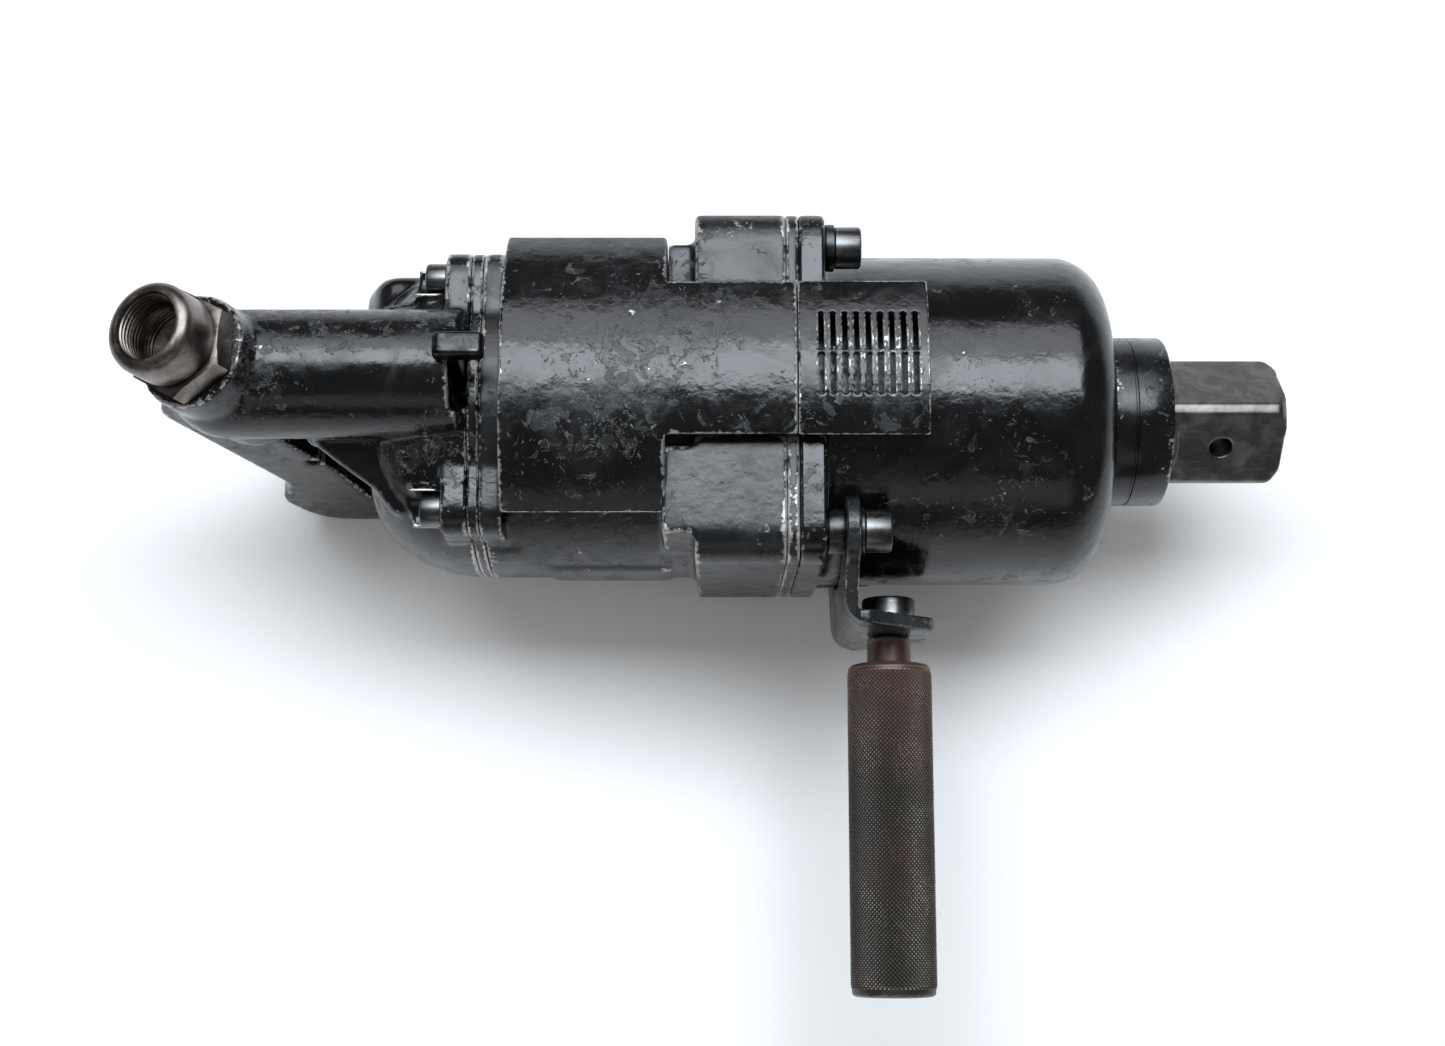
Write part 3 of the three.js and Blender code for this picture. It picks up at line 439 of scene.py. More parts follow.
# %% The black enamel
def chipped_enamel(name, chips=0.5, shift=0.0, edge=0.5, gloss=0.17, base=0.0022, lump=0.34):
    f = Finish(name)
    patches = f.noise(46, detail=2.0, shift=shift) - 0.5
    chip_noise = f.noise(7.0, detail=8.0, roughness=0.64, distortion=0.9, shift=shift + 3.1)
    field = chip_noise + patches * 0.45 + (chips - 0.5) * 0.2
    chip = field.ramp(0.600, 0.612)
    rim = field.band(0.606, 0.014) * f.noise(5.0, detail=2.0, shift=shift + 30.0).ramp(0.42, 0.6)
    small = f.noise(2.6, detail=5.0, roughness=0.7, distortion=1.6, shift=shift + 9.4)
    specks = (small + patches * 0.35).ramp(0.655, 0.67)
    wear = f.attribute("wear")
    ragged = wear + (f.noise(2.4, detail=6.0, roughness=0.75, shift=shift + 5.0) - 0.5) * 1.1
    handling = f.noise(26, detail=3.0, shift=shift + 7.7) - 0.5
    worn_edge = (ragged + handling * 0.9 + (edge - 0.5)).ramp(0.36, 0.48)
    nick = (f.noise(6.0, detail=6.0, roughness=0.7, shift=shift + 41.0) + patches * 0.3).ramp(0.70, 0.71)
    bare = (worn_edge + nick).limit()
    smears = f.noise(24, detail=5.0, roughness=0.65, distortion=1.2, shift=shift + 13.0)
    enamel = f.blend(smears.ramp(0.35, 0.75), grey(base, -0.15), grey(base * 2.4, -0.1))
    layer = f.blend(chip * 0.9, enamel, grey(0.0085, -0.02))
    broken = f.blend((rim * 0.8 + specks * 0.45).limit(), layer, grey(0.20, 0.0))
    colour = f.blend(bare, broken, grey(0.42, 0.03))
    orange_peel = f.noise(1.7, detail=2.0, shift=shift + 21.0)
    swell = f.noise(9, detail=4.0, roughness=0.55, shift=shift + 17.0)
    roughness = (gloss + smears.ramp(0.40, 0.75) * 0.2 + chip * 0.17 + specks * 0.18 + bare * 0.1
                 + (orange_peel - 0.5) * 0.06).limit()
    f.set(Base_Color=colour, Roughness=roughness, Metallic=bare * 0.85, IOR=1.5)
    f.set(Specular_IOR_Level=0.46)
    f.bump(swell * lump + orange_peel * 0.035 - chip * 0.13 + rim * 0.05 - specks * 0.07 - bare * 0.08)
    return f.material


castings = chipped_enamel("chipped_black_enamel", chips=0.50, edge=0.52, lump=0.42)
dull_castings = chipped_enamel("dull_black_enamel", chips=0.42, shift=23.0, edge=0.56, gloss=0.29, base=0.004,
                               lump=0.42)
smooth_castings = chipped_enamel("smooth_black_enamel", chips=0.34, shift=11.0, edge=0.3, gloss=0.15)
print("enamel", castings.name)

# %% [markdown]
# The steels are simpler. Each is a metal colour broken up by handling: fingerprints and oil change
# how rough it is, and rust or old oxide tints it. The knurl's points are polished by hands, and the
# wear attribute finds them just as it finds the corners.

# %% Steels, oxide and the rest
def steel(name, colour, dark, roughness, patch=9.0, shift=0.0, scratches=0.5, tint=0.0, relief=0.03):
    f = Finish(name)
    cloud = f.noise(patch, detail=5.0, roughness=0.62, distortion=0.6, shift=shift)
    fine = f.noise(0.9, detail=3.0, roughness=0.6, shift=shift + 4.0)
    grain = f.noise(1.4, detail=4.0, stretch=(0.12, 1, 1), shift=shift + 8.0)
    wear = f.attribute("wear").ramp(0.25, 0.8)
    body = f.blend(cloud.ramp(0.38, 0.68), dark, colour)
    body = f.blend((grain.ramp(0.58, 0.66) * scratches).limit(), body, grey(0.5, tint))
    body = f.blend(wear * 0.7, body, grey(0.46, tint))
    f.set(Base_Color=body, Metallic=1.0)
    f.set(Roughness=(roughness + (cloud - 0.5) * 0.3 + (fine - 0.5) * 0.16 - wear * 0.08).limit())
    f.bump(fine * relief + cloud * relief * 2)
    return f.material


def plain_finish(name, colour, second, roughness, relief=0.04, size=1.2):
    f = Finish(name)
    cloud = f.noise(size * 8, detail=4.0, roughness=0.6)
    fine = f.noise(size, detail=3.0)
    f.set(Base_Color=f.blend(cloud.ramp(0.35, 0.7), colour, second))
    f.set(Roughness=(roughness + (cloud - 0.5) * 0.2).limit())
    f.bump(fine * relief)
    return f.material


collar_gloss = chipped_enamel("collar_gloss", chips=0.15, shift=40.0, edge=0.2, gloss=0.16, base=0.003,
                              lump=0.04)
bracket_black = chipped_enamel("bracket_black", chips=0.42, shift=60.0, edge=0.36, gloss=0.22, base=0.007,
                               lump=0.05)
drive_steel = steel("drive_steel", grey(0.17, 0.08), grey(0.09, 0.10), 0.38, patch=10, scratches=0.08,
                    tint=0.04, relief=0.05)
inlet_steel = steel("inlet_steel", (0.23, 0.205, 0.19, 1), (0.12, 0.098, 0.085, 1), 0.34, patch=9,
                    shift=15.0, scratches=0.12, tint=0.04)
oxide = steel("black_oxide", grey(0.05), grey(0.018), 0.34, patch=6, shift=25.0, scratches=0.12)
bright = steel("bright_steel", grey(0.5), grey(0.3), 0.25, patch=12, shift=31.0)
iron = steel("machined_iron", grey(0.24), grey(0.12), 0.45, patch=10, shift=37.0)
rubber = plain_finish("seal_rubber", grey(0.012), grey(0.03), 0.6)
resin = plain_finish("vane_resin", (0.28, 0.14, 0.06, 1), (0.4, 0.22, 0.1, 1), 0.5)
print("finishes", len(bpy.data.materials))

# %% [markdown]
# ## Measures shared by the castings
# A node's box gives where a piece starts and ends. The few sizes that a box can't give, such as where
# the flange screws sit, are the design's own: two screws at 45 degrees above, and two below.

# %% Boxes in millimetres, and the screw circles
CLOCKING = -5.5
FRONT_CIRCLE, FRONT_EAR, FRONT_HOLE = 78, 12.5, 5.3
REAR_CIRCLE, REAR_EAR, REAR_HOLE = 64, 10.3, 4.3
BARREL_RADIUS, BARREL_BORE = 63, 50
CORNERS = ("upper_left", "upper_right", "lower_right", "lower_left")


def bolt_circle(radius, lower):
    """The (y, z) of four screws: two at 45 degrees from the top, two at lower degrees from it."""
    turns = [math.radians(a) for a in (45, -45, -lower, lower)]
    return [(radius * math.sin(turn), radius * math.cos(turn)) for turn in turns]


FRONT_BOLTS = bolt_circle(FRONT_CIRCLE, 140)
REAR_BOLTS = bolt_circle(REAR_CIRCLE, 135)


def box_mm(node):
    low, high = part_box(node)
    return [c / MM for c in low], [c / MM for c in high]


def x_span(node):
    low, high = box_mm(node)
    return low[0], high[0]


def round_bolts(bolts, radius, steps=14):
    """The outline of a tight band round four equal circles, as (y, z)."""
    outline = []
    for i, (y, z) in enumerate(bolts):
        before, after = bolts[i - 1], bolts[(i + 1) % 4]
        start = math.degrees(math.atan2(before[0] - y, z - before[1]))
        end = math.degrees(math.atan2(y - after[0], after[1] - z))
        outline += arc((y, z), radius, start, end if end > start else end + 360, steps)
    return outline


def sector(inner, outer, half, steps=40):
    """A slice of a ring, half degrees to each side of straight up, as (y, z)."""
    return arc((0, 0), outer, 90 - half, 90 + half, steps) + arc((0, 0), inner, 90 + half, 90 - half, steps)


def rods_at(spots, x0, x1, radius, scale=1.0, sides=32):
    return [rod(x0, x1, radius, (y * scale, z * scale), sides) for y, z in spots]


case_rear, case_front = x_span("hammer_case")
motor_rear, motor_front = x_span("motor_housing")
shroud_rear, shroud_front = x_span("motor_shroud")
louvre_rear, louvre_front = x_span("exhaust_louvre_cover")
print("case", case_rear, case_front, "motor", motor_rear, motor_front)

# %% [markdown]
# ## Finishing a piece
# A finished piece has its edges measured, takes one finish, rides on its body and stands in for the
# design's solid. A casting is melted first; a turned or pressed piece keeps its crisp edges.

# %% Castings, machined pieces and what they share
CRISP = 35


def weld(body, reach=0.015):
    """Joins points closer than reach mm, so that a cut leaves no slivers."""
    mesh = bmesh.new()
    mesh.from_mesh(body.data)
    bmesh.ops.remove_doubles(mesh, verts=mesh.verts, dist=reach * MM)
    bmesh.ops.dissolve_degenerate(mesh, edges=mesh.edges, dist=reach * MM)
    mesh.to_mesh(body.data)
    mesh.free()


def dress(name, body, nodes, finish, angle=None, body_name="housing"):
    """Names, smooths and paints a piece, and puts it on its body in place of the nodes."""
    body.name = body.data.name = name
    weld(body)
    smooth_faces(body, angle)
    body.data.materials.clear()
    body.data.materials.append(finish)
    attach(body, body_name)
    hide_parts(*nodes)
    body.data.calc_loop_triangles()
    print(name, len(body.data.loop_triangles), "triangles")


def casting(name, body, node, finish, grain, rounds, turned_by=0.0):
    melt(body, grain, rounds)
    turn_about_spindle(body, turned_by)
    mark_wear(body)
    dress(name, body, [node], finish)


def machined(name, body, node, finish=oxide, wear=(1, 2.5), body_name="housing"):
    mark_wear(body, *wear)
    dress(name, body, [node], finish, CRISP, body_name)


print("pieces can be finished")

# %% [markdown]
# ## The hammer case
# A thick iron cup that holds the hammers. Its front rounds over into the nose and its rear carries a
# flange for the long screws. It could be lathed alone, but the flange ears grow out of it in one
# casting, so the parts are joined and then melted together.

# %% Hammer case
NARROW_HALF, WIDE_HALF, COWL_RADIUS, COWL_WALL, STEP_X = 22.4, 43.9, 80, 3.5, -244
SHROUD_INNER, SADDLE_INNER, NECK_INNER, DUCT_INNER = 63.3, 63.6, 66.6, 30


def cowl_room():
    """The channel across both flanges that the narrow cowl lies in."""
    half, beyond = NARROW_HALF + 0.4, 110
    over = pushed(sector(NECK_INNER - 0.5, beyond, half), STEP_X - 3, -150, "X")
    under = pushed(sector(SHROUD_INNER, beyond, half), STEP_X - 3, motor_front + 0.1, "X")
    return turn_about_spindle(join(over, under), CLOCKING)


NOSE_FILLET, CASE_RADIUS, CASE_WALL, NOSE_WALL, NOSE_HOLE, FLANGE_THICK = 20, 66, 10, 12, 29.3, 10.4
case_inner = CASE_RADIUS - CASE_WALL
round_over = arc((case_front - NOSE_FILLET, CASE_RADIUS - NOSE_FILLET), NOSE_FILLET, 0, 90, 12)
case = turned([(case_front, NOSE_HOLE), *round_over, (case_rear, CASE_RADIUS), (case_rear, case_inner),
               (case_front - 2 * NOSE_WALL, case_inner), (case_front - NOSE_WALL, 46),
               (case_front - NOSE_WALL, NOSE_HOLE), (case_front, NOSE_HOLE)], 128)
case_ears = cut(pushed(round_bolts(FRONT_BOLTS, FRONT_EAR), case_rear, case_rear + FLANGE_THICK, "X"),
                rod(case_rear - 1, case_rear + 12, CASE_RADIUS - 1, sides=96))
case = cut(join(case, case_ears), cowl_room(),
           *rods_at(FRONT_BOLTS, case_rear - 1, case_rear + 12, FRONT_HOLE))
casting("hammer_case_casting", case, "hammer_case", smooth_castings, 1.25, 8)

# %% [markdown]
# ## The motor housing
# The barrel round the air motor. Four long ears take the screws from the hammer case, with a lower
# step behind them, and a thin flange at the rear takes the handle. On the side of the side handle a
# plate-like pad stands proud of the barrel, left blank here.

# %% Motor housing
EARS_TO, STEP_TO = -233.5, -243.7
barrel = rod(motor_rear, motor_front, BARREL_RADIUS, sides=128)
ears = pushed(round_bolts(FRONT_BOLTS, FRONT_EAR), EARS_TO, motor_front, "X")
ear_step = pushed(round_bolts(FRONT_BOLTS, 1.5), STEP_TO, EARS_TO + 1, "X")
long_ear = common(pushed(round_bolts(FRONT_BOLTS, FRONT_EAR), STEP_TO - 1.8, EARS_TO + 1, "X"),
                  block(-246, -232, -58, -25, 15, 80))
rear_flange = pushed(round_bolts(REAR_BOLTS, REAR_EAR), motor_rear, motor_rear + 8.6, "X")
pad = common(block(-290, -244, -80, -40, -15, 13), rod(-290, -244, 64.3, sides=96))
small_pad = common(block(-312, -301, -80, -40, 18, 26), rod(-312, -301, 63.8, sides=96))
rails = [turn_about_spindle(pushed(sector(56, 67.3, 2.4, 6), shroud_rear, STEP_X + 6, "X"),
                            CLOCKING + side * 47) for side in (-1, 1)]
motor = join(barrel, *rails, ears, ear_step, long_ear, rear_flange, pad, small_pad)
motor = cut(motor, rod(motor_rear - 1, motor_front + 1, BARREL_BORE, sides=96), cowl_room(),
            *rods_at(FRONT_BOLTS, motor_front - 30, motor_front + 1, FRONT_HOLE),
            *rods_at(REAR_BOLTS, motor_rear - 1, motor_rear + 10, REAR_HOLE))
casting("motor_housing_casting", motor, "motor_housing", dull_castings, 1.2, 9)

# %% [markdown]
# ## The painted-over gaskets
# Each joint between castings holds a gasket. The enamel was sprayed over the closed joint, so all that
# shows is a pair of fine lines. The gaskets are plates of the flange's outline, softened at the rim.

# %% Front and rear gasket
GASKET_INSET = 0.25


def gasket(node, bolts, ear, round_radius, inner, hole):
    low_x, high_x = x_span(node)
    plate = join(pushed(round_bolts(bolts, ear - GASKET_INSET), low_x, high_x, "X"),
                 rod(low_x, high_x, round_radius - GASKET_INSET, sides=128))
    return cut(plate, rod(low_x - 1, high_x + 1, inner, sides=96),
               *rods_at(bolts, low_x - 1, high_x + 1, hole))


front_joint = cut(gasket("front_gasket", FRONT_BOLTS, FRONT_EAR, 63.8, 56, FRONT_HOLE), cowl_room())
rear_joint = gasket("rear_gasket", REAR_BOLTS, REAR_EAR, BARREL_RADIUS, BARREL_BORE, REAR_HOLE)
casting("front_gasket_painted", front_joint, "front_gasket", dull_castings, 0.9, 2)
casting("rear_gasket_painted", rear_joint, "rear_gasket", castings, 0.9, 2)

# %% [markdown]
# ## The exhaust cowl
# A cast cover saddles the motor and carries its exhaust forward in a narrower neck. The wide and the
# narrow part are slices of one ring, so both are drawn as sectors and pushed along the spindle. The
# cowl, the handle and the inlet are all turned a few degrees, as one clamped unit; each is built
# upright, which keeps its numbers simple, and turned once at the end.

# %% Motor shroud
def cowl_slice(inner, half, low_x, high_x):
    return pushed(sector(inner, COWL_RADIUS, half), low_x, high_x, "X")


def duct_slice(half, low_x, high_x):
    """The air's way through a slice, which leaves the cowl its wall."""
    return pushed(sector(DUCT_INNER, COWL_RADIUS - COWL_WALL, half - 3), low_x, high_x, "X")


shroud = cowl_slice(SHROUD_INNER, WIDE_HALF, shroud_rear, STEP_X)
neck = cowl_slice(NECK_INNER, NARROW_HALF, STEP_X - 1, shroud_front)
saddle = cowl_slice(SADDLE_INNER, NARROW_HALF, STEP_X - 1, EARS_TO)
duct = duct_slice(WIDE_HALF, shroud_rear + COWL_WALL, STEP_X - COWL_WALL)
shroud = cut(join(shroud, neck, saddle), join(duct, duct_slice(NARROW_HALF, STEP_X - 5, shroud_front + 1)))
casting("motor_shroud_casting", shroud, "motor_shroud", castings, 0.85, 7, CLOCKING)

# %% [markdown]
# ## The louvred exhaust cover
# The neck ends in a cover with two rows of narrow slots. The slots are all alike, so Geometry Nodes
# make the cutter: one small block, repeated along a line and bent round the cover by its angle. The
# count, the pitch and the sizes are inputs of the tree. The cutter is then taken from the cover.

# %% A tree builder for Geometry Nodes
class Tree:
    """A Geometry Nodes tree with named inputs, run once on a body and then turned into its mesh."""

    def __init__(self, name, **inputs):
        self.tree = bpy.data.node_groups.new(name, "GeometryNodeTree")
        self.tree.interface.new_socket("Geometry", in_out="OUTPUT", socket_type="NodeSocketGeometry")
        self.values = inputs
        self.keys = {}
        for label, value in inputs.items():
            kind = "NodeSocketInt" if isinstance(value, int) else "NodeSocketFloat"
            kind = "NodeSocketMaterial" if isinstance(value, bpy.types.Material) else kind
            self.keys[label] = self.tree.interface.new_socket(label, in_out="INPUT", socket_type=kind)
        self.source = self.tree.nodes.new("NodeGroupInput")

    def __getitem__(self, label):
        return self.source.outputs[label]

    def add(self, kind, settings, *values, output=0, **named):
        node = self.tree.nodes.new(kind)
        for key, value in settings.items():
            setattr(node, key, value)
        for key, value in [*enumerate(values), *named.items()]:
            if isinstance(value, bpy.types.NodeSocket):
                self.tree.links.new(value, node.inputs[key])
            elif value is not None:
                node.inputs[key].default_value = value
        return node.outputs[output]

    def sum(self, operation, *values):
        return self.add("ShaderNodeMath", {"operation": operation}, *values)

    def vector(self, x=0.0, y=0.0, z=0.0):
        return self.add("ShaderNodeCombineXYZ", {}, x, y, z)

    def finish(self, geometry, material):
        real = self.add("GeometryNodeRealizeInstances", {}, geometry)
        out = self.tree.nodes.new("NodeGroupOutput")
        self.tree.links.new(self.add("GeometryNodeSetMaterial", {}, real, Material=material), out.inputs[0])

    def make(self, name):
        body = mesh_object(name, [], [])
        change = body.modifiers.new("nodes", "NODES")
        change.node_group = self.tree
        for label, value in self.values.items():
            change[self.keys[label].identifier] = value
        return settle(body)


print("tree builder ready")

# %% The slots, cut by one tree
SLOT_FIRST, SLOT_PITCH, SLOT_WIDTH, SLOT_INNER, SLOT_OUTER = -186.6, 4.35, 1.9, 0.45, 11.6
slots = Tree("louvre_slots", Columns=9, First=SLOT_FIRST * MM, Pitch=SLOT_PITCH * MM, Width=SLOT_WIDTH * MM,
             Inner=math.radians(SLOT_INNER), Outer=math.radians(SLOT_OUTER), Radius=COWL_RADIUS * MM,
             Finish=castings)
arc_angle = slots.sum("SUBTRACT", slots["Outer"], slots["Inner"])
high = slots.sum("MULTIPLY", slots["Radius"], 0.2)
long = slots.sum("MULTIPLY", slots["Radius"], arc_angle)
cutter = slots.add("GeometryNodeMeshCube", {}, slots.vector(slots["Width"], long, high), 2, 9, 2)
cutter = slots.add("GeometryNodeTransform", {}, cutter,
                   Translation=slots.vector(0.0, 0.0, slots["Radius"]))
step = slots.vector(slots["Pitch"])
row = slots.add("GeometryNodeMeshLine", {"mode": "OFFSET"}, Count=slots["Columns"],
                **{"Start Location": slots.vector(slots["First"]), "Offset": step})
row = slots.add("GeometryNodeInstanceOnPoints", {}, row, Instance=cutter)
middle_angle = slots.sum("MULTIPLY", slots.sum("ADD", slots["Outer"], slots["Inner"]), 0.5)
rows = [slots.add("GeometryNodeTransform", {}, row, Rotation=slots.vector(angle))
        for angle in (middle_angle, slots.sum("MULTIPLY", middle_angle, -1.0))]
both = slots.tree.nodes.new("GeometryNodeJoinGeometry")
for half in rows:
    slots.tree.links.new(half, both.inputs[0])
slots.finish(both.outputs[0], slots["Finish"])
cover = cut(cowl_slice(NECK_INNER, NARROW_HALF, louvre_rear, louvre_front),
            duct_slice(NARROW_HALF, louvre_rear - 1, louvre_front - COWL_WALL), slots.make("louvre_cutter"))
casting("exhaust_louvre_casting", cover, "exhaust_louvre_cover", castings, 0.5, 3, CLOCKING)

# %% [markdown]
# ## The rear casting and its handle
# One iron casting closes the motor, carries the air from the inlet down the upper arm, and bends into
# a D-shaped grip. It is the one piece whose shape no single rule gives, so it is drawn as a patternmaker
# would: a dome, an arm, a boss for the inlet, a loop sawn from plate, and two raised housings. They
# are joined, remeshed and smoothed until the fillets between them look cast.

# %% The rear casting's parts
head_front, head_rear = motor_rear - 4.4, motor_rear - 14.4
HANDLE_REAR = -362
INLET = Vector((-418.5, 0, 80))
INLET_TILT = math.radians(21)
INLET_AXIS = Vector((-math.sin(INLET_TILT), 0, math.cos(INLET_TILT)))
ARM_RADIUS, ARM_HEIGHT, ARM_REAR = 24.5, 55.25, -409.5
LEVER_Z, LEVER_SWING, LEVER_X = 42, math.radians(28), (-323.7, -319.7)
PIVOT_X, PIVOT_Z, PIVOT_HOLE = -390, -10, 2.8


def along_inlet(out, across=0.0):
    return tuple(INLET + INLET_AXIS * out + Vector((math.cos(INLET_TILT), 0, math.sin(INLET_TILT))) * across)


def plate_with_hole(outer, opening, half, round_by):
    """A plate in the X-Z plane with a hole, all its edges rounded."""
    body = cut(pushed(outer, -half, half, "Y"), pushed(opening, -half - 1, half + 1, "Y"))
    return bevel(body, round_by, 5)


def tilted(outline, low, high, soften, degrees, shift):
    """A slab with soft edges, tipped about the spindle and moved sideways."""
    slab = turn_about_spindle(bevel(pushed(outline, low, high, "Z"), soften, 4, 60), degrees)
    slab.data.transform(Matrix.Translation((0, shift * MM, 0)))
    return slab


def across(half, radius):
    """A rod across the grip on the trigger's pivot."""
    return bar((PIVOT_X, -half, PIVOT_Z), (PIVOT_X, half, PIVOT_Z), radius)


dome = turned([(head_front, 0), (head_front, BARREL_RADIUS), (head_rear, BARREL_RADIUS - 1),
               (-338, 59.5), (-344, 57), (-349, 54), (-353.5, 50.5), (-357, 46), (-359.5, 42), (-361, 38),
               (HANDLE_REAR, 31), (HANDLE_REAR, 0)], 128)
lugs = rods_at(REAR_BOLTS, -342, head_front, 9.3, 0.97)
head_flange = pushed(round_bolts(REAR_BOLTS, REAR_EAR), head_rear, head_front, "X")
shoulder = tilted(rounded([(-332, 22, 6), (-372, 20, 8), (-382, -17, 8), (-368, -28, 12), (-357, -36, 8),
                           (-350, -46, 8), (-332, -48, 6)]), 31, 51, 4.5, 17, 13)
pockets = rods_at(REAR_BOLTS, -430, head_rear, 8.7, 1.03)
head = turn_about_spindle(cut(join(dome, head_flange, *lugs, shoulder), *pockets), -CLOCKING)

chest = pushed(rounded([(-327, 34, 10), (-358, 34, 12), (-366, 18, 12), (-366, -24, 12),
                        (-350, -34, 12), (-327, -34, 10)]), 14, 51, "Y")
chest = bevel(chest, 6.5, 5, 60)
loop = plate_with_hole(
    rounded([(-333, 66, 14), (-430, 66, 16), (-437, 50, 16), (-405, -42, 16), (-414, -62, 16),
             (-402, -92.2, 28), (-352, -92.2, 26), (-333, -60, 16)], 12),
    rounded([(HANDLE_REAR, 30, 9), (HANDLE_REAR, -30, 20), (-354, -63, 12), (-374, -63, 9), (-383, -20, 20),
             (-401, 30, 11)], 12), 14.5, 8.5)
dish = [(ARM_REAR - ARM_RADIUS * math.cos(a), ARM_RADIUS * math.sin(a))
        for a in (i * math.pi / 24 for i in range(13))]
knuckle = turned([*dish, (ARM_REAR + 1, ARM_RADIUS), (ARM_REAR + 1, 0)], 96, (0, ARM_HEIGHT))
boss = bar(along_inlet(0), along_inlet(-48), 22, 96)
arm = join(rod(ARM_REAR, -322, ARM_RADIUS, (0, ARM_HEIGHT), 96),
           block(-340, -323, -ARM_RADIUS, ARM_RADIUS, 20, ARM_HEIGHT))

# The skirt that flares from the arm into the dome, on both sides.
skirt = tilted(rounded([(-326, 36, 4), (-352, 34, 14), (-366, 24, 20), (-384, 20, 6), (-384, -20, 6),
                        (-366, -24, 20), (-352, -38, 14), (-326, -42, 4)], 10), 22, 44, 6, 14, 8)
print("rear casting drawn")

# %% Its passages, and melting it together
FAN_SIDE, FAN_REACH, HUB_ROOM = 5.1, 50, 9.6
lean, rise = math.sin(LEVER_SWING), math.cos(LEVER_SWING)
fan = pushed([(FAN_SIDE, LEVER_Z), (FAN_SIDE, LEVER_Z + FAN_REACH),
              (-FAN_SIDE * rise - FAN_REACH * lean, LEVER_Z - FAN_SIDE * lean + FAN_REACH * rise),
              (-FAN_SIDE * rise, LEVER_Z - FAN_SIDE * lean)], -324, head_front + 1, "X")
lever_hub = rod(-324, head_front + 1, HUB_ROOM, (0, LEVER_Z))
inlet_hole = bar(along_inlet(1), along_inlet(-32), 13.3)
trigger_slot = pushed([(-398, -17), (-364, -17), (-364, 33), (-411, 33)], -6.8, 6.8, "Y")
valve_hole = rod(-431, -380, 7.3, (0, 20))
pin_hole = across(20, PIVOT_HOLE)
motor_room = rod(-340, head_front + 1, 28, (0, -8))
reverse_bore = rod(-352, head_front + 1, HUB_ROOM, (0, LEVER_Z))
screw_holes = [turn_about_spindle(hole, -CLOCKING)
               for hole in rods_at(REAR_BOLTS, -343, head_front + 1, REAR_HOLE)]
rear = join(head, arm, knuckle, boss, loop, chest, skirt)
rear = cut(rear, inlet_hole, fan, lever_hub, trigger_slot, valve_hole, pin_hole, motor_room, reverse_bore,
           *screw_holes)
casting("backhead_casting", rear, "backhead_handle", castings, 1.15, 6, CLOCKING)

# %% [markdown]
# ## The side handle's bracket
# A plate bent to a right angle: two lobes under the flange screws, and a foot that tapers out under
# the grip. Plate has crisper edges than a casting, so it is melted on a finer grid and only a little,
# and the wear gauge then finds the edges and bares them.

# %% Bracket
FOOT_Y, FOOT_END, PLATE, GRIP_X = -82.8, -140.8, 5.2, -157
bracket_rear = case_rear + 17.2
bracket_front = bracket_rear + PLATE
upper, lower = FRONT_BOLTS[1], FRONT_BOLTS[2]
leg = pushed(rounded([(lower[0], lower[1] - 12, 3), (upper[0], upper[1] + 12, 3),
                      (upper[0] - 12, upper[1] + 2, 8), (FOOT_Y - PLATE + 0.2, 44, 4),
                      (FOOT_Y - PLATE + 0.2, -44, 4), (lower[0] - 16, lower[1] - 2, 8)]),
             bracket_rear, bracket_front, "X")
foot = pushed(rounded([(bracket_rear, -44, 3), (bracket_front + 5, -44, 6), (FOOT_END, -20, 7),
                       (FOOT_END, 20, 7), (bracket_front + 5, 44, 6), (bracket_rear, 44, 3)]),
              FOOT_Y - PLATE, FOOT_Y, "Y")
plate = join(leg, foot, *rods_at([upper, lower], bracket_rear, bracket_front, 13, sides=64))
bend = pushed(rounded([(bracket_rear, 0, 0), (bracket_rear, FOOT_Y - PLATE, 11),
                       (FOOT_END + 5, FOOT_Y - PLATE, 0), (FOOT_END + 5, 0, 0)]), -100, 100, "Z")
plate = cut(common(plate, bend), rod(bracket_rear - 1, bracket_front + 1, 67.5, sides=96),
            *rods_at([upper, lower], bracket_rear - 1, bracket_front + 1, FRONT_HOLE),
            bar((GRIP_X, FOOT_Y + 1, 0), (GRIP_X, FOOT_Y - PLATE - 1, 0), 6.3))
casting("side_handle_bracket_plate", plate, "side_handle_bracket", bracket_black, 0.62, 3)

# %% [markdown]
# ## Nose bushing, seal and drive square
# The bushing is turned steel in gloss black. The drive is forged: a square with rounded corners, a
# chamfered end and a cross hole for the socket's retaining pin.

# %% Nose bushing
nose_rear, nose_front = x_span("nose_bushing")
NOSE_RADIUS, NOSE_STEP, NOSE_SHANK, NOSE_BORE, SEAL_BORE = 34, -71.7, 29, 23.3, 28
bushing = turned([(nose_front, SEAL_BORE), (nose_front, NOSE_RADIUS - 1.6),
                  (nose_front - 0.5, NOSE_RADIUS - 0.6), (nose_front - 1.6, NOSE_RADIUS),
                  (-60.6, NOSE_RADIUS), (-61.0, NOSE_RADIUS - 0.4), (-61.6, NOSE_RADIUS - 0.4),
                  (-62.0, NOSE_RADIUS), (NOSE_STEP + 1.1, NOSE_RADIUS), (NOSE_STEP, NOSE_RADIUS - 0.8),
                  (NOSE_STEP, NOSE_SHANK), (nose_rear, NOSE_SHANK), (nose_rear, NOSE_BORE),
                  (nose_front - 5, NOSE_BORE), (nose_front - 5, SEAL_BORE), (nose_front, SEAL_BORE)], 160)
mark_wear(bushing)
dress("nose_bushing_turned", bushing, ["nose_bushing"], collar_gloss, 30)

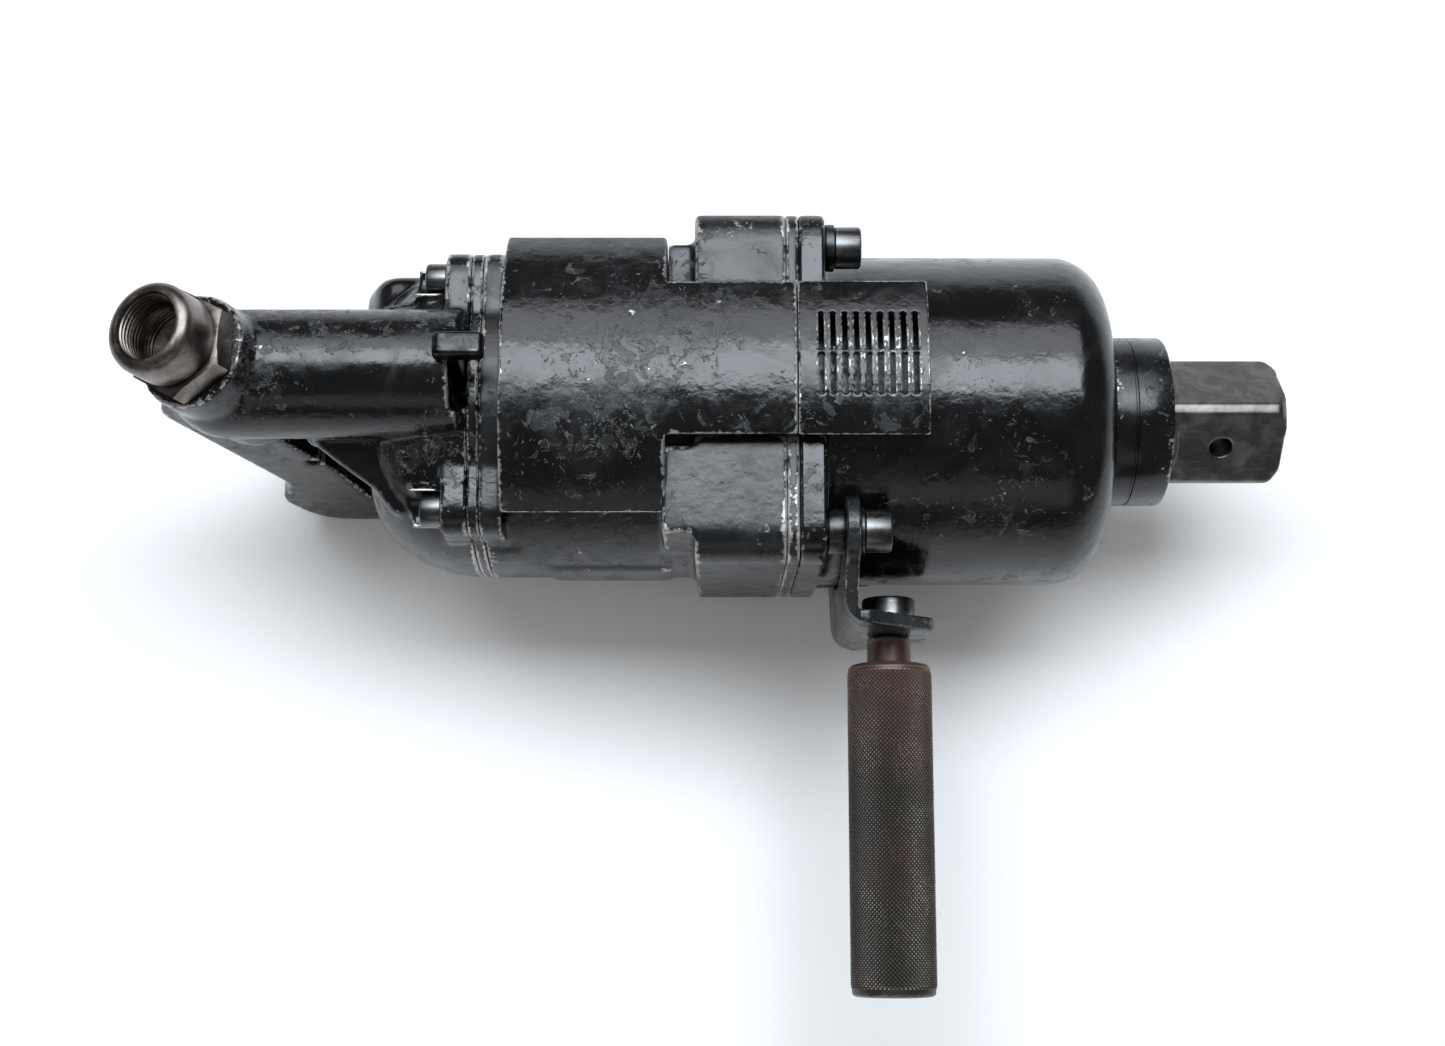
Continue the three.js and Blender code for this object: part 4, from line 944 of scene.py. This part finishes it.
# %% Drive square and its spindle
SQUARE, CORNER, DRIVE_TURN, SQUARE_LONG = 38.1, 25, 46.8, 46.4
half = SQUARE / 2
square = turn_about_spindle(block(-SQUARE_LONG, 0, -half, half, -half, half), DRIVE_TURN)
square_round = turned([(-SQUARE_LONG - 0.6, 0), (-SQUARE_LONG - 0.6, CORNER), (-4.2, CORNER),
                       (-2.6, CORNER - 0.5), (0, CORNER - 3.6), (0, 0)], 128)
square = common(square, square_round)
shank = turned([(-188, 0), (-188, 10), (-179, 10), (-179, 20), (-102, 20), (-102, 30), (-95, 30),
                (-95, 23), (-46.0, 23), (-43.6, 21.8), (-42.2, 19), (-42.2, 0)], 96)
jaws = common(block(-176, -102, -26, 26, -11, 11), rod(-176, -102, 26, sides=96))
hole_way = Matrix.Rotation(math.radians(DRIVE_TURN), 3, "X") @ Vector((0, 0, 30))
hole_at = Vector((-24.7, 0, 0))
anvil = cut(join(square, shank, jaws), bar(hole_at - hole_way, hole_at + hole_way, 4.5))
melt(anvil, 0.8, 2, 0.6)
mark_wear(anvil, 2, 3.0)
dress("anvil_forged", anvil, ["anvil"], drive_steel, body_name="anvil")

# %% [markdown]
# ## The air inlet
# A hexagon bushing with a long round barrel, screwed into the handle. Its thread is a helix, so
# Geometry Nodes make it: a spiral curve with a small square section swept along it, sized by inputs.
# Its inner corner stands out of the bore as the thread's crest.

# %% Inlet bushing
def upright_on_inlet(body):
    """Moves a piece turned about X, with its base at x = 0, onto the inlet's axis."""
    turn = Vector((1, 0, 0)).rotation_difference(INLET_AXIS).to_matrix().to_4x4()
    body.data.transform(Matrix.Translation(INLET * MM) @ turn)
    return turn_about_spindle(body, CLOCKING)


HEX_ACROSS, HEX_HIGH, LIP_RADIUS, HIGH, INLET_BORE = 36.6, 9, 17.5, 27, 12.5
hex_radius = HEX_ACROSS / 2 / math.cos(math.pi / 6)
hexagon = pushed(arc((0, 0), hex_radius, 0, 300, 5), 0.3, HEX_HIGH, "X")
hex_turning = turned([(0, 0), (0.3, hex_radius - 0.9), (1.2, hex_radius), (HEX_HIGH - 1.4, hex_radius),
                      (HEX_HIGH, hex_radius - 2.3), (HEX_HIGH, 0)], 96)
hexagon = common(hexagon, hex_turning)
barrel = turned([(-14, 0), (-14, 12.7), (1, 12.7), (1, LIP_RADIUS - 0.9), (HEX_HIGH + 0.6, LIP_RADIUS - 0.9),
                 (HEX_HIGH + 2.2, LIP_RADIUS), (HIGH - 4, LIP_RADIUS), (HIGH - 2.2, LIP_RADIUS - 0.5),
                 (HIGH - 0.8, LIP_RADIUS - 1.7), (HIGH - 0.1, LIP_RADIUS - 3.2),
                 (HIGH, LIP_RADIUS - 4.3), (HIGH, 0)], 96)
inlet_bore = turned([(-15, 0), (-15, 9.8), (2, 9.8), (5, INLET_BORE), (HIGH - 1, INLET_BORE),
                     (HIGH + 1, INLET_BORE + 1.2), (HIGH + 1, 0)], 96)
inlet = cut(join(hexagon, barrel), inlet_bore)
bevel(inlet, 0.35, 2, 40)
machined("inlet_bushing_turned", upright_on_inlet(inlet), "inlet_bushing", inlet_steel,
         (2, 3.0))

# %% Its thread, swept along a spiral
thread_tree = Tree("pipe_thread", Pitch=1.8 * MM, Turns=11.0, Radius=(INLET_BORE + 0.35) * MM, Depth=0.8 * MM,
                   Finish=inlet_steel)
thread_high = thread_tree.sum("MULTIPLY", thread_tree["Pitch"], thread_tree["Turns"])
spiral = thread_tree.add("GeometryNodeCurveSpiral", {}, 40, thread_tree["Turns"], Height=thread_high,
                         **{"Start Radius": thread_tree["Radius"], "End Radius": thread_tree["Radius"]})
crest = thread_tree.add("GeometryNodeCurvePrimitiveCircle", {"mode": "RADIUS"}, Resolution=4,
                        Radius=thread_tree["Depth"])
thread_tree.finish(thread_tree.add("GeometryNodeCurveToMesh", {}, spiral, crest, **{"Fill Caps": True}),
                   thread_tree["Finish"])
thread = thread_tree.make("thread")
thread.data.transform(Matrix.Translation((0, 0, 5.4 * MM)))
thread.data.transform(Matrix.Rotation(math.pi / 2, 4, "Y"))
dress("inlet_thread", upright_on_inlet(thread), [], inlet_steel, CRISP)

# %% [markdown]
# ## Screws and washers
# Eight socket screws hold the tool together. The head is a turned shape with a hexagon socket, and a
# small tree sets each screw out on its own point. Washers and spacers are rings with softened edges.

# %% One screw head, set out by a tree
def socket_screw(radius, head, high, reach, way):
    """A socket screw along X with its head's underside at x = 0; way is +1 or -1."""
    tip, top = -way * reach, way * high
    rows = [(tip, 0), (tip, radius - 0.6), (tip + way * 0.8, radius), (0, radius), (0, head - 0.25),
            (way * 0.3, head), (top - way * 1.1, head), (top - way * 0.35, head - 0.35), (top, head - 1.1),
            (top, 0)]
    key = pushed(arc((0, 0), head * 0.56, 0, 300, 5), top * 0.42, top + way, "X")
    mouth = turned([(top - way * 0.9, 0), (top - way * 0.9, head * 0.5), (top + way * 0.5, head * 0.66),
                    (top + way * 0.5, 0)], 48)
    return cut(turned(rows, 48), key, mouth)


def set_out(name, piece, spot):
    """Copies a piece onto a spot in mm with Geometry Nodes and returns the plain result."""
    tree = Tree(name, Finish=oxide)
    source = tree.tree.nodes.new("GeometryNodeObjectInfo")
    source.inputs["Object"].default_value = piece
    point = tree.add("GeometryNodeMeshLine", {"mode": "OFFSET"}, Count=1,
                     **{"Start Location": tuple(c * MM for c in spot)})
    placed = tree.add("GeometryNodeInstanceOnPoints", {}, point, Instance=source.outputs["Geometry"])
    tree.finish(placed, tree["Finish"])
    made = tree.make(name)
    bpy.data.objects.remove(piece)
    return made


def put_screw(end, corner, spot, *sizes):
    name = end + "_screw_turned_" + corner
    machined(name, set_out(name, socket_screw(*sizes), spot), end + "_screw_" + corner)


def put_ring(kind, corner, outer, soften):
    """A washer or spacer round a front screw."""
    node = kind + "_" + corner
    body = ring(*x_span(node), FRONT_HOLE, outer, FRONT_BOLTS[CORNERS.index(corner)], 64)
    machined(kind + "_turned_" + corner, bevel(body, soften, 2, 40), node)


FRONT_HEAD, REAR_HEAD, FRONT_TIP = 10, 8, -225
for corner, spot, rear_spot in zip(CORNERS, FRONT_BOLTS, REAR_BOLTS):
    under = x_span("front_screw_" + corner)[1] - FRONT_HEAD
    put_screw("front", corner, (under, *spot), 5, 8, FRONT_HEAD, under - FRONT_TIP, 1)
    put_ring("lock_washer", corner, 9, 0.35)
    under = x_span("rear_screw_" + corner)[0] + REAR_HEAD
    put_screw("rear", corner, (under, *rear_spot), 4, 6.5, REAR_HEAD, 22, -1)
for corner in ("upper_right", "lower_right"):
    put_ring("bracket_spacer", corner, 8.5, 0.4)

# %% [markdown]
# ## The side handle
# A steel bar with a diamond knurl, a smooth neck, and a screw down its middle. A knurl is two families
# of helical grooves crossing; where they leave the metal alone, a point stands. Geometry Nodes make it
# from a cylinder's grid: every second corner of the grid, like the black squares of a chessboard, is
# raised. Pitch and depth are inputs, and the ends taper off as a knurling wheel leaves them.

# %% The grip's finish: brown steel, redder towards the tool, its points polished by hands
knurled = Finish("knurled_brown_steel")
haze = knurled.noise(26, detail=4.0, roughness=0.6)
flecks = knurled.noise(1.6, detail=3.0, roughness=0.7, shift=5.0)
handled = knurled.noise(34, detail=3.0, distortion=1.5, shift=9.0).ramp(0.4, 0.65)
along = knurled.add("ShaderNodeSeparateXYZ", {}, knurled.mm, output="Y")
red_end = ((along + 150) * 0.02 + (haze - 0.5) * 1.2).limit()
points_worn = knurled.attribute("wear").ramp(0.0, 0.4) * (handled * 0.7 + 0.3)
polish = (points_worn * 0.8 + (flecks - 0.62) * 2.0 * handled).limit()
brown = knurled.blend(haze.ramp(0.45, 0.7), (0.026, 0.022, 0.019, 1), (0.044, 0.024, 0.019, 1))
brown = knurled.blend(red_end, brown, (0.078, 0.042, 0.034, 1))
knurled.set(Base_Color=knurled.blend(polish, brown, (0.42, 0.40, 0.35, 1)),
            Metallic=(polish * 0.5 + 0.4).limit(),
            Roughness=(0.42 - polish * 0.1 + (haze - 0.5) * 0.2).limit())
knurled.bump(flecks * 0.04)
print("grip finish ready")

# %% Knurled grip
GRIP_RADIUS, GRIP_END, NECK_RADIUS, NECK_LONG = 16.8, 227.0, 8.65, 10.7
under_foot = -FOOT_Y + PLATE + 0.3
grip_from = under_foot + NECK_LONG
KNURL_FROM, KNURL_TO = grip_from + 2.6, GRIP_END - 2.6
AROUND, ALONG, KNURL_DEPTH = 120, 142, 0.6
knurl = Tree("diamond_knurl", Around=AROUND, Along=ALONG, Radius=(GRIP_RADIUS - KNURL_DEPTH) * MM,
             Long=(KNURL_TO - KNURL_FROM) * MM, Depth=KNURL_DEPTH * MM, Finish=knurled.material)
tube = knurl.add("GeometryNodeMeshCylinder", {"fill_type": "NONE"}, Vertices=knurl["Around"],
                 Radius=knurl["Radius"], Depth=knurl["Long"], **{"Side Segments": knurl["Along"]})
index = knurl.add("GeometryNodeInputIndex", {})
ring_number = knurl.sum("FLOOR", knurl.sum("DIVIDE", index, knurl["Around"]))
place_in_ring = knurl.sum("MODULO", index, knurl["Around"])
chess = knurl.sum("MODULO", knurl.sum("ADD", ring_number, place_in_ring), 2.0)
from_start = knurl.sum("MINIMUM", ring_number, 2.0)
from_end = knurl.sum("MINIMUM", knurl.sum("SUBTRACT", knurl["Along"], ring_number), 2.0)
fade = knurl.sum("MULTIPLY", knurl.sum("MULTIPLY", from_start, from_end), 0.25)
lift = knurl.sum("MULTIPLY", knurl.sum("MULTIPLY", chess, knurl["Depth"]), fade)
outward = knurl.add("ShaderNodeVectorMath", {"operation": "NORMALIZE"}, knurl.add(
    "ShaderNodeVectorMath", {"operation": "MULTIPLY"}, knurl.add("GeometryNodeInputPosition", {}), (1, 1, 0)))
lifted = knurl.add("ShaderNodeVectorMath", {"operation": "SCALE"}, outward, Scale=lift)
points = knurl.add("GeometryNodeSetPosition", {}, tube, Offset=lifted)
points = knurl.add("GeometryNodeTriangulate", {"quad_method": "SHORTEST_DIAGONAL"}, points)
knurl.finish(points, knurl["Finish"])
skin = knurl.make("knurl_skin")
skin.data.transform(Matrix.Translation((0, 0, (KNURL_FROM + KNURL_TO) / 2 * MM)))


def on_handle(body):
    """Turns a piece made along +Z onto the side handle's line, pointing away from the tool."""
    body.data.transform(Matrix.Translation((GRIP_X * MM, 0, 0)) @ Matrix.Rotation(math.pi / 2, 4, "X"))
    return body


def lathe_up(profile, sides):
    """A turned open or closed shape along +Z from (z, radius) pairs, with its seam lined up."""
    body = turned(profile, sides)
    body.data.transform(Matrix.Rotation(-math.pi / 2, 4, "Y"))
    return body


base = GRIP_RADIUS - KNURL_DEPTH
start_cap = lathe_up([(KNURL_FROM, base), (grip_from + 1.6, base), (grip_from + 1.2, GRIP_RADIUS - 0.9),
                      (grip_from + 0.3, GRIP_RADIUS - 1.8), (grip_from, GRIP_RADIUS - 2.8),
                      (grip_from, NECK_RADIUS + 0.8), (grip_from - 0.8, NECK_RADIUS),
                      (under_foot + 0.8, NECK_RADIUS), (under_foot, NECK_RADIUS - 0.8),
                      (under_foot, 6.3), (GRIP_END - 60, 6.3), (GRIP_END - 60, 0)], AROUND)
end_cap = lathe_up([(KNURL_TO, base), (GRIP_END - 1.6, base), (GRIP_END - 0.6, GRIP_RADIUS - 0.9),
                    (GRIP_END - 0.15, GRIP_RADIUS - 1.8), (GRIP_END, GRIP_RADIUS - 2.8), (GRIP_END, 0)],
                   AROUND)
parts = bmesh.new()
for piece in (skin, start_cap, end_cap):
    parts.from_mesh(piece.data)
    bpy.data.objects.remove(piece)
loose_before = len(parts.verts)
bmesh.ops.remove_doubles(parts, verts=parts.verts, dist=3e-5)
bmesh.ops.recalc_face_normals(parts, faces=parts.faces)
open_edges = sum(1 for e in parts.edges if len(e.link_faces) != 2)
print("grip points", loose_before, "->", len(parts.verts), "open edges", open_edges)
grip = mesh_object("side_grip", [], [])
parts.to_mesh(grip.data)
parts.free()
on_handle(grip)
mark_wear(grip, 0, 1.4)
dress("side_grip_knurled", grip, ["side_handle_grip"], knurled.material, 28)

# %% Its screw
head_top = -FOOT_Y - 0.3 - 10
screw = lathe_up([(head_top, 0), (head_top, 9.2), (head_top + 0.4, 10.1), (head_top + 1.2, 10.5),
                  (head_top + 9.7, 10.5), (head_top + 10, 10.2), (head_top + 10, 6), (GRIP_END - 66, 6),
                  (GRIP_END - 66, 0)], 64)
key = pushed(arc((0, 0), 5.8, 0, 300, 5), head_top - 1, head_top + 5.5, "Z")
machined("side_handle_screw_turned", on_handle(cut(screw, key)), "side_handle_screw")

# %% [markdown]
# ## Trigger and reversing lever
# The trigger swings on a pin inside the grip, and the lever's thumb tab stands up beside the cowl.
# Both are steel pressings with softened edges; they move, so each rides on its own body.

# %% Trigger, pin and lever
trigger = pushed(rounded([(-394, -14, 3), (-385, -14, 3), (-383.5, 4, 8), (-388, 26, 6), (-402, 29, 3),
                          (-402.5, 20, 3)]), -6.5, 6.5, "Y")
bevel(trigger, 1.2, 3, 40)
trigger = cut(join(trigger, across(6.5, 5.6)), across(8, PIVOT_HOLE))
machined("trigger_pressed", turn_about_spindle(trigger, CLOCKING), "throttle_trigger", wear=(2, 2.5),
         body_name="trigger")
pin = turn_about_spindle(bevel(across(13, 2.5), 0.3, 2, 40), CLOCKING)
machined("trigger_pin_turned", pin, "trigger_pin", bright, (1, 2.0))

lever = join(rod(*LEVER_X, 9, (0, LEVER_Z)), block(*LEVER_X, -4.5, 4.5, LEVER_Z, 88))
tab = pushed(rounded([(-329, 81, 2), (-310, 81, 3), (-310, 89, 3), (-329, 89, 4)]), -4.5, 4.5, "Y")
lever = join(lever, bevel(tab, 1.3, 4, 40))
melt(lever, 0.45, 3)
turn_about_spindle(lever, CLOCKING)
mark_wear(lever, 2, 3.0)
dress("reverse_lever_cast", lever, ["reverse_lever"], oxide, body_name="reverse")

# %% [markdown]
# ## What the castings hide
# The hammers, motor, bearings and valves keep the shapes the design gave them. Only a look at their
# edges or an opened tool shows them, so each gets the finish of its metal and nothing more.

# %% Finishes for the pieces inside
inner_finish = {
    "iron": (iron, ["hammer_frame", "front_hammer", "rear_hammer", "cylinder_liner", "front_end_plate",
                    "rear_end_plate"]),
    "bright": (bright, ["hammer_pin_left", "hammer_pin_right", "rotor", "front_bearing", "rear_bearing",
                        "inlet_screen", "throttle_valve", "throttle_spring", "reverse_valve"]),
    "rubber": (rubber, ["nose_seal"]),
    "resin": (resin, ["vane_%d" % i for i in range(1, 7)]),
}
for look, names in inner_finish.values():
    for name in names:
        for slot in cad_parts[name].material_slots:
            slot.material = look
print("inner pieces", sum(len(names) for _, names in inner_finish.values()))

# %% [markdown]
# ## The table
# A plain white sheet that the tool lies on. Only its own soft shadow falls on it.

# %% Table
table = mesh_object("table", [(-40, -40, floor_level), (40, -40, floor_level), (40, 40, floor_level),
                              (-40, 40, floor_level)], [(0, 1, 2, 3)])
paper = Finish("white_table")
paper.set(Base_Color=(0.93, 0.93, 0.935, 1), Roughness=0.7)
table.data.materials.append(paper.material)
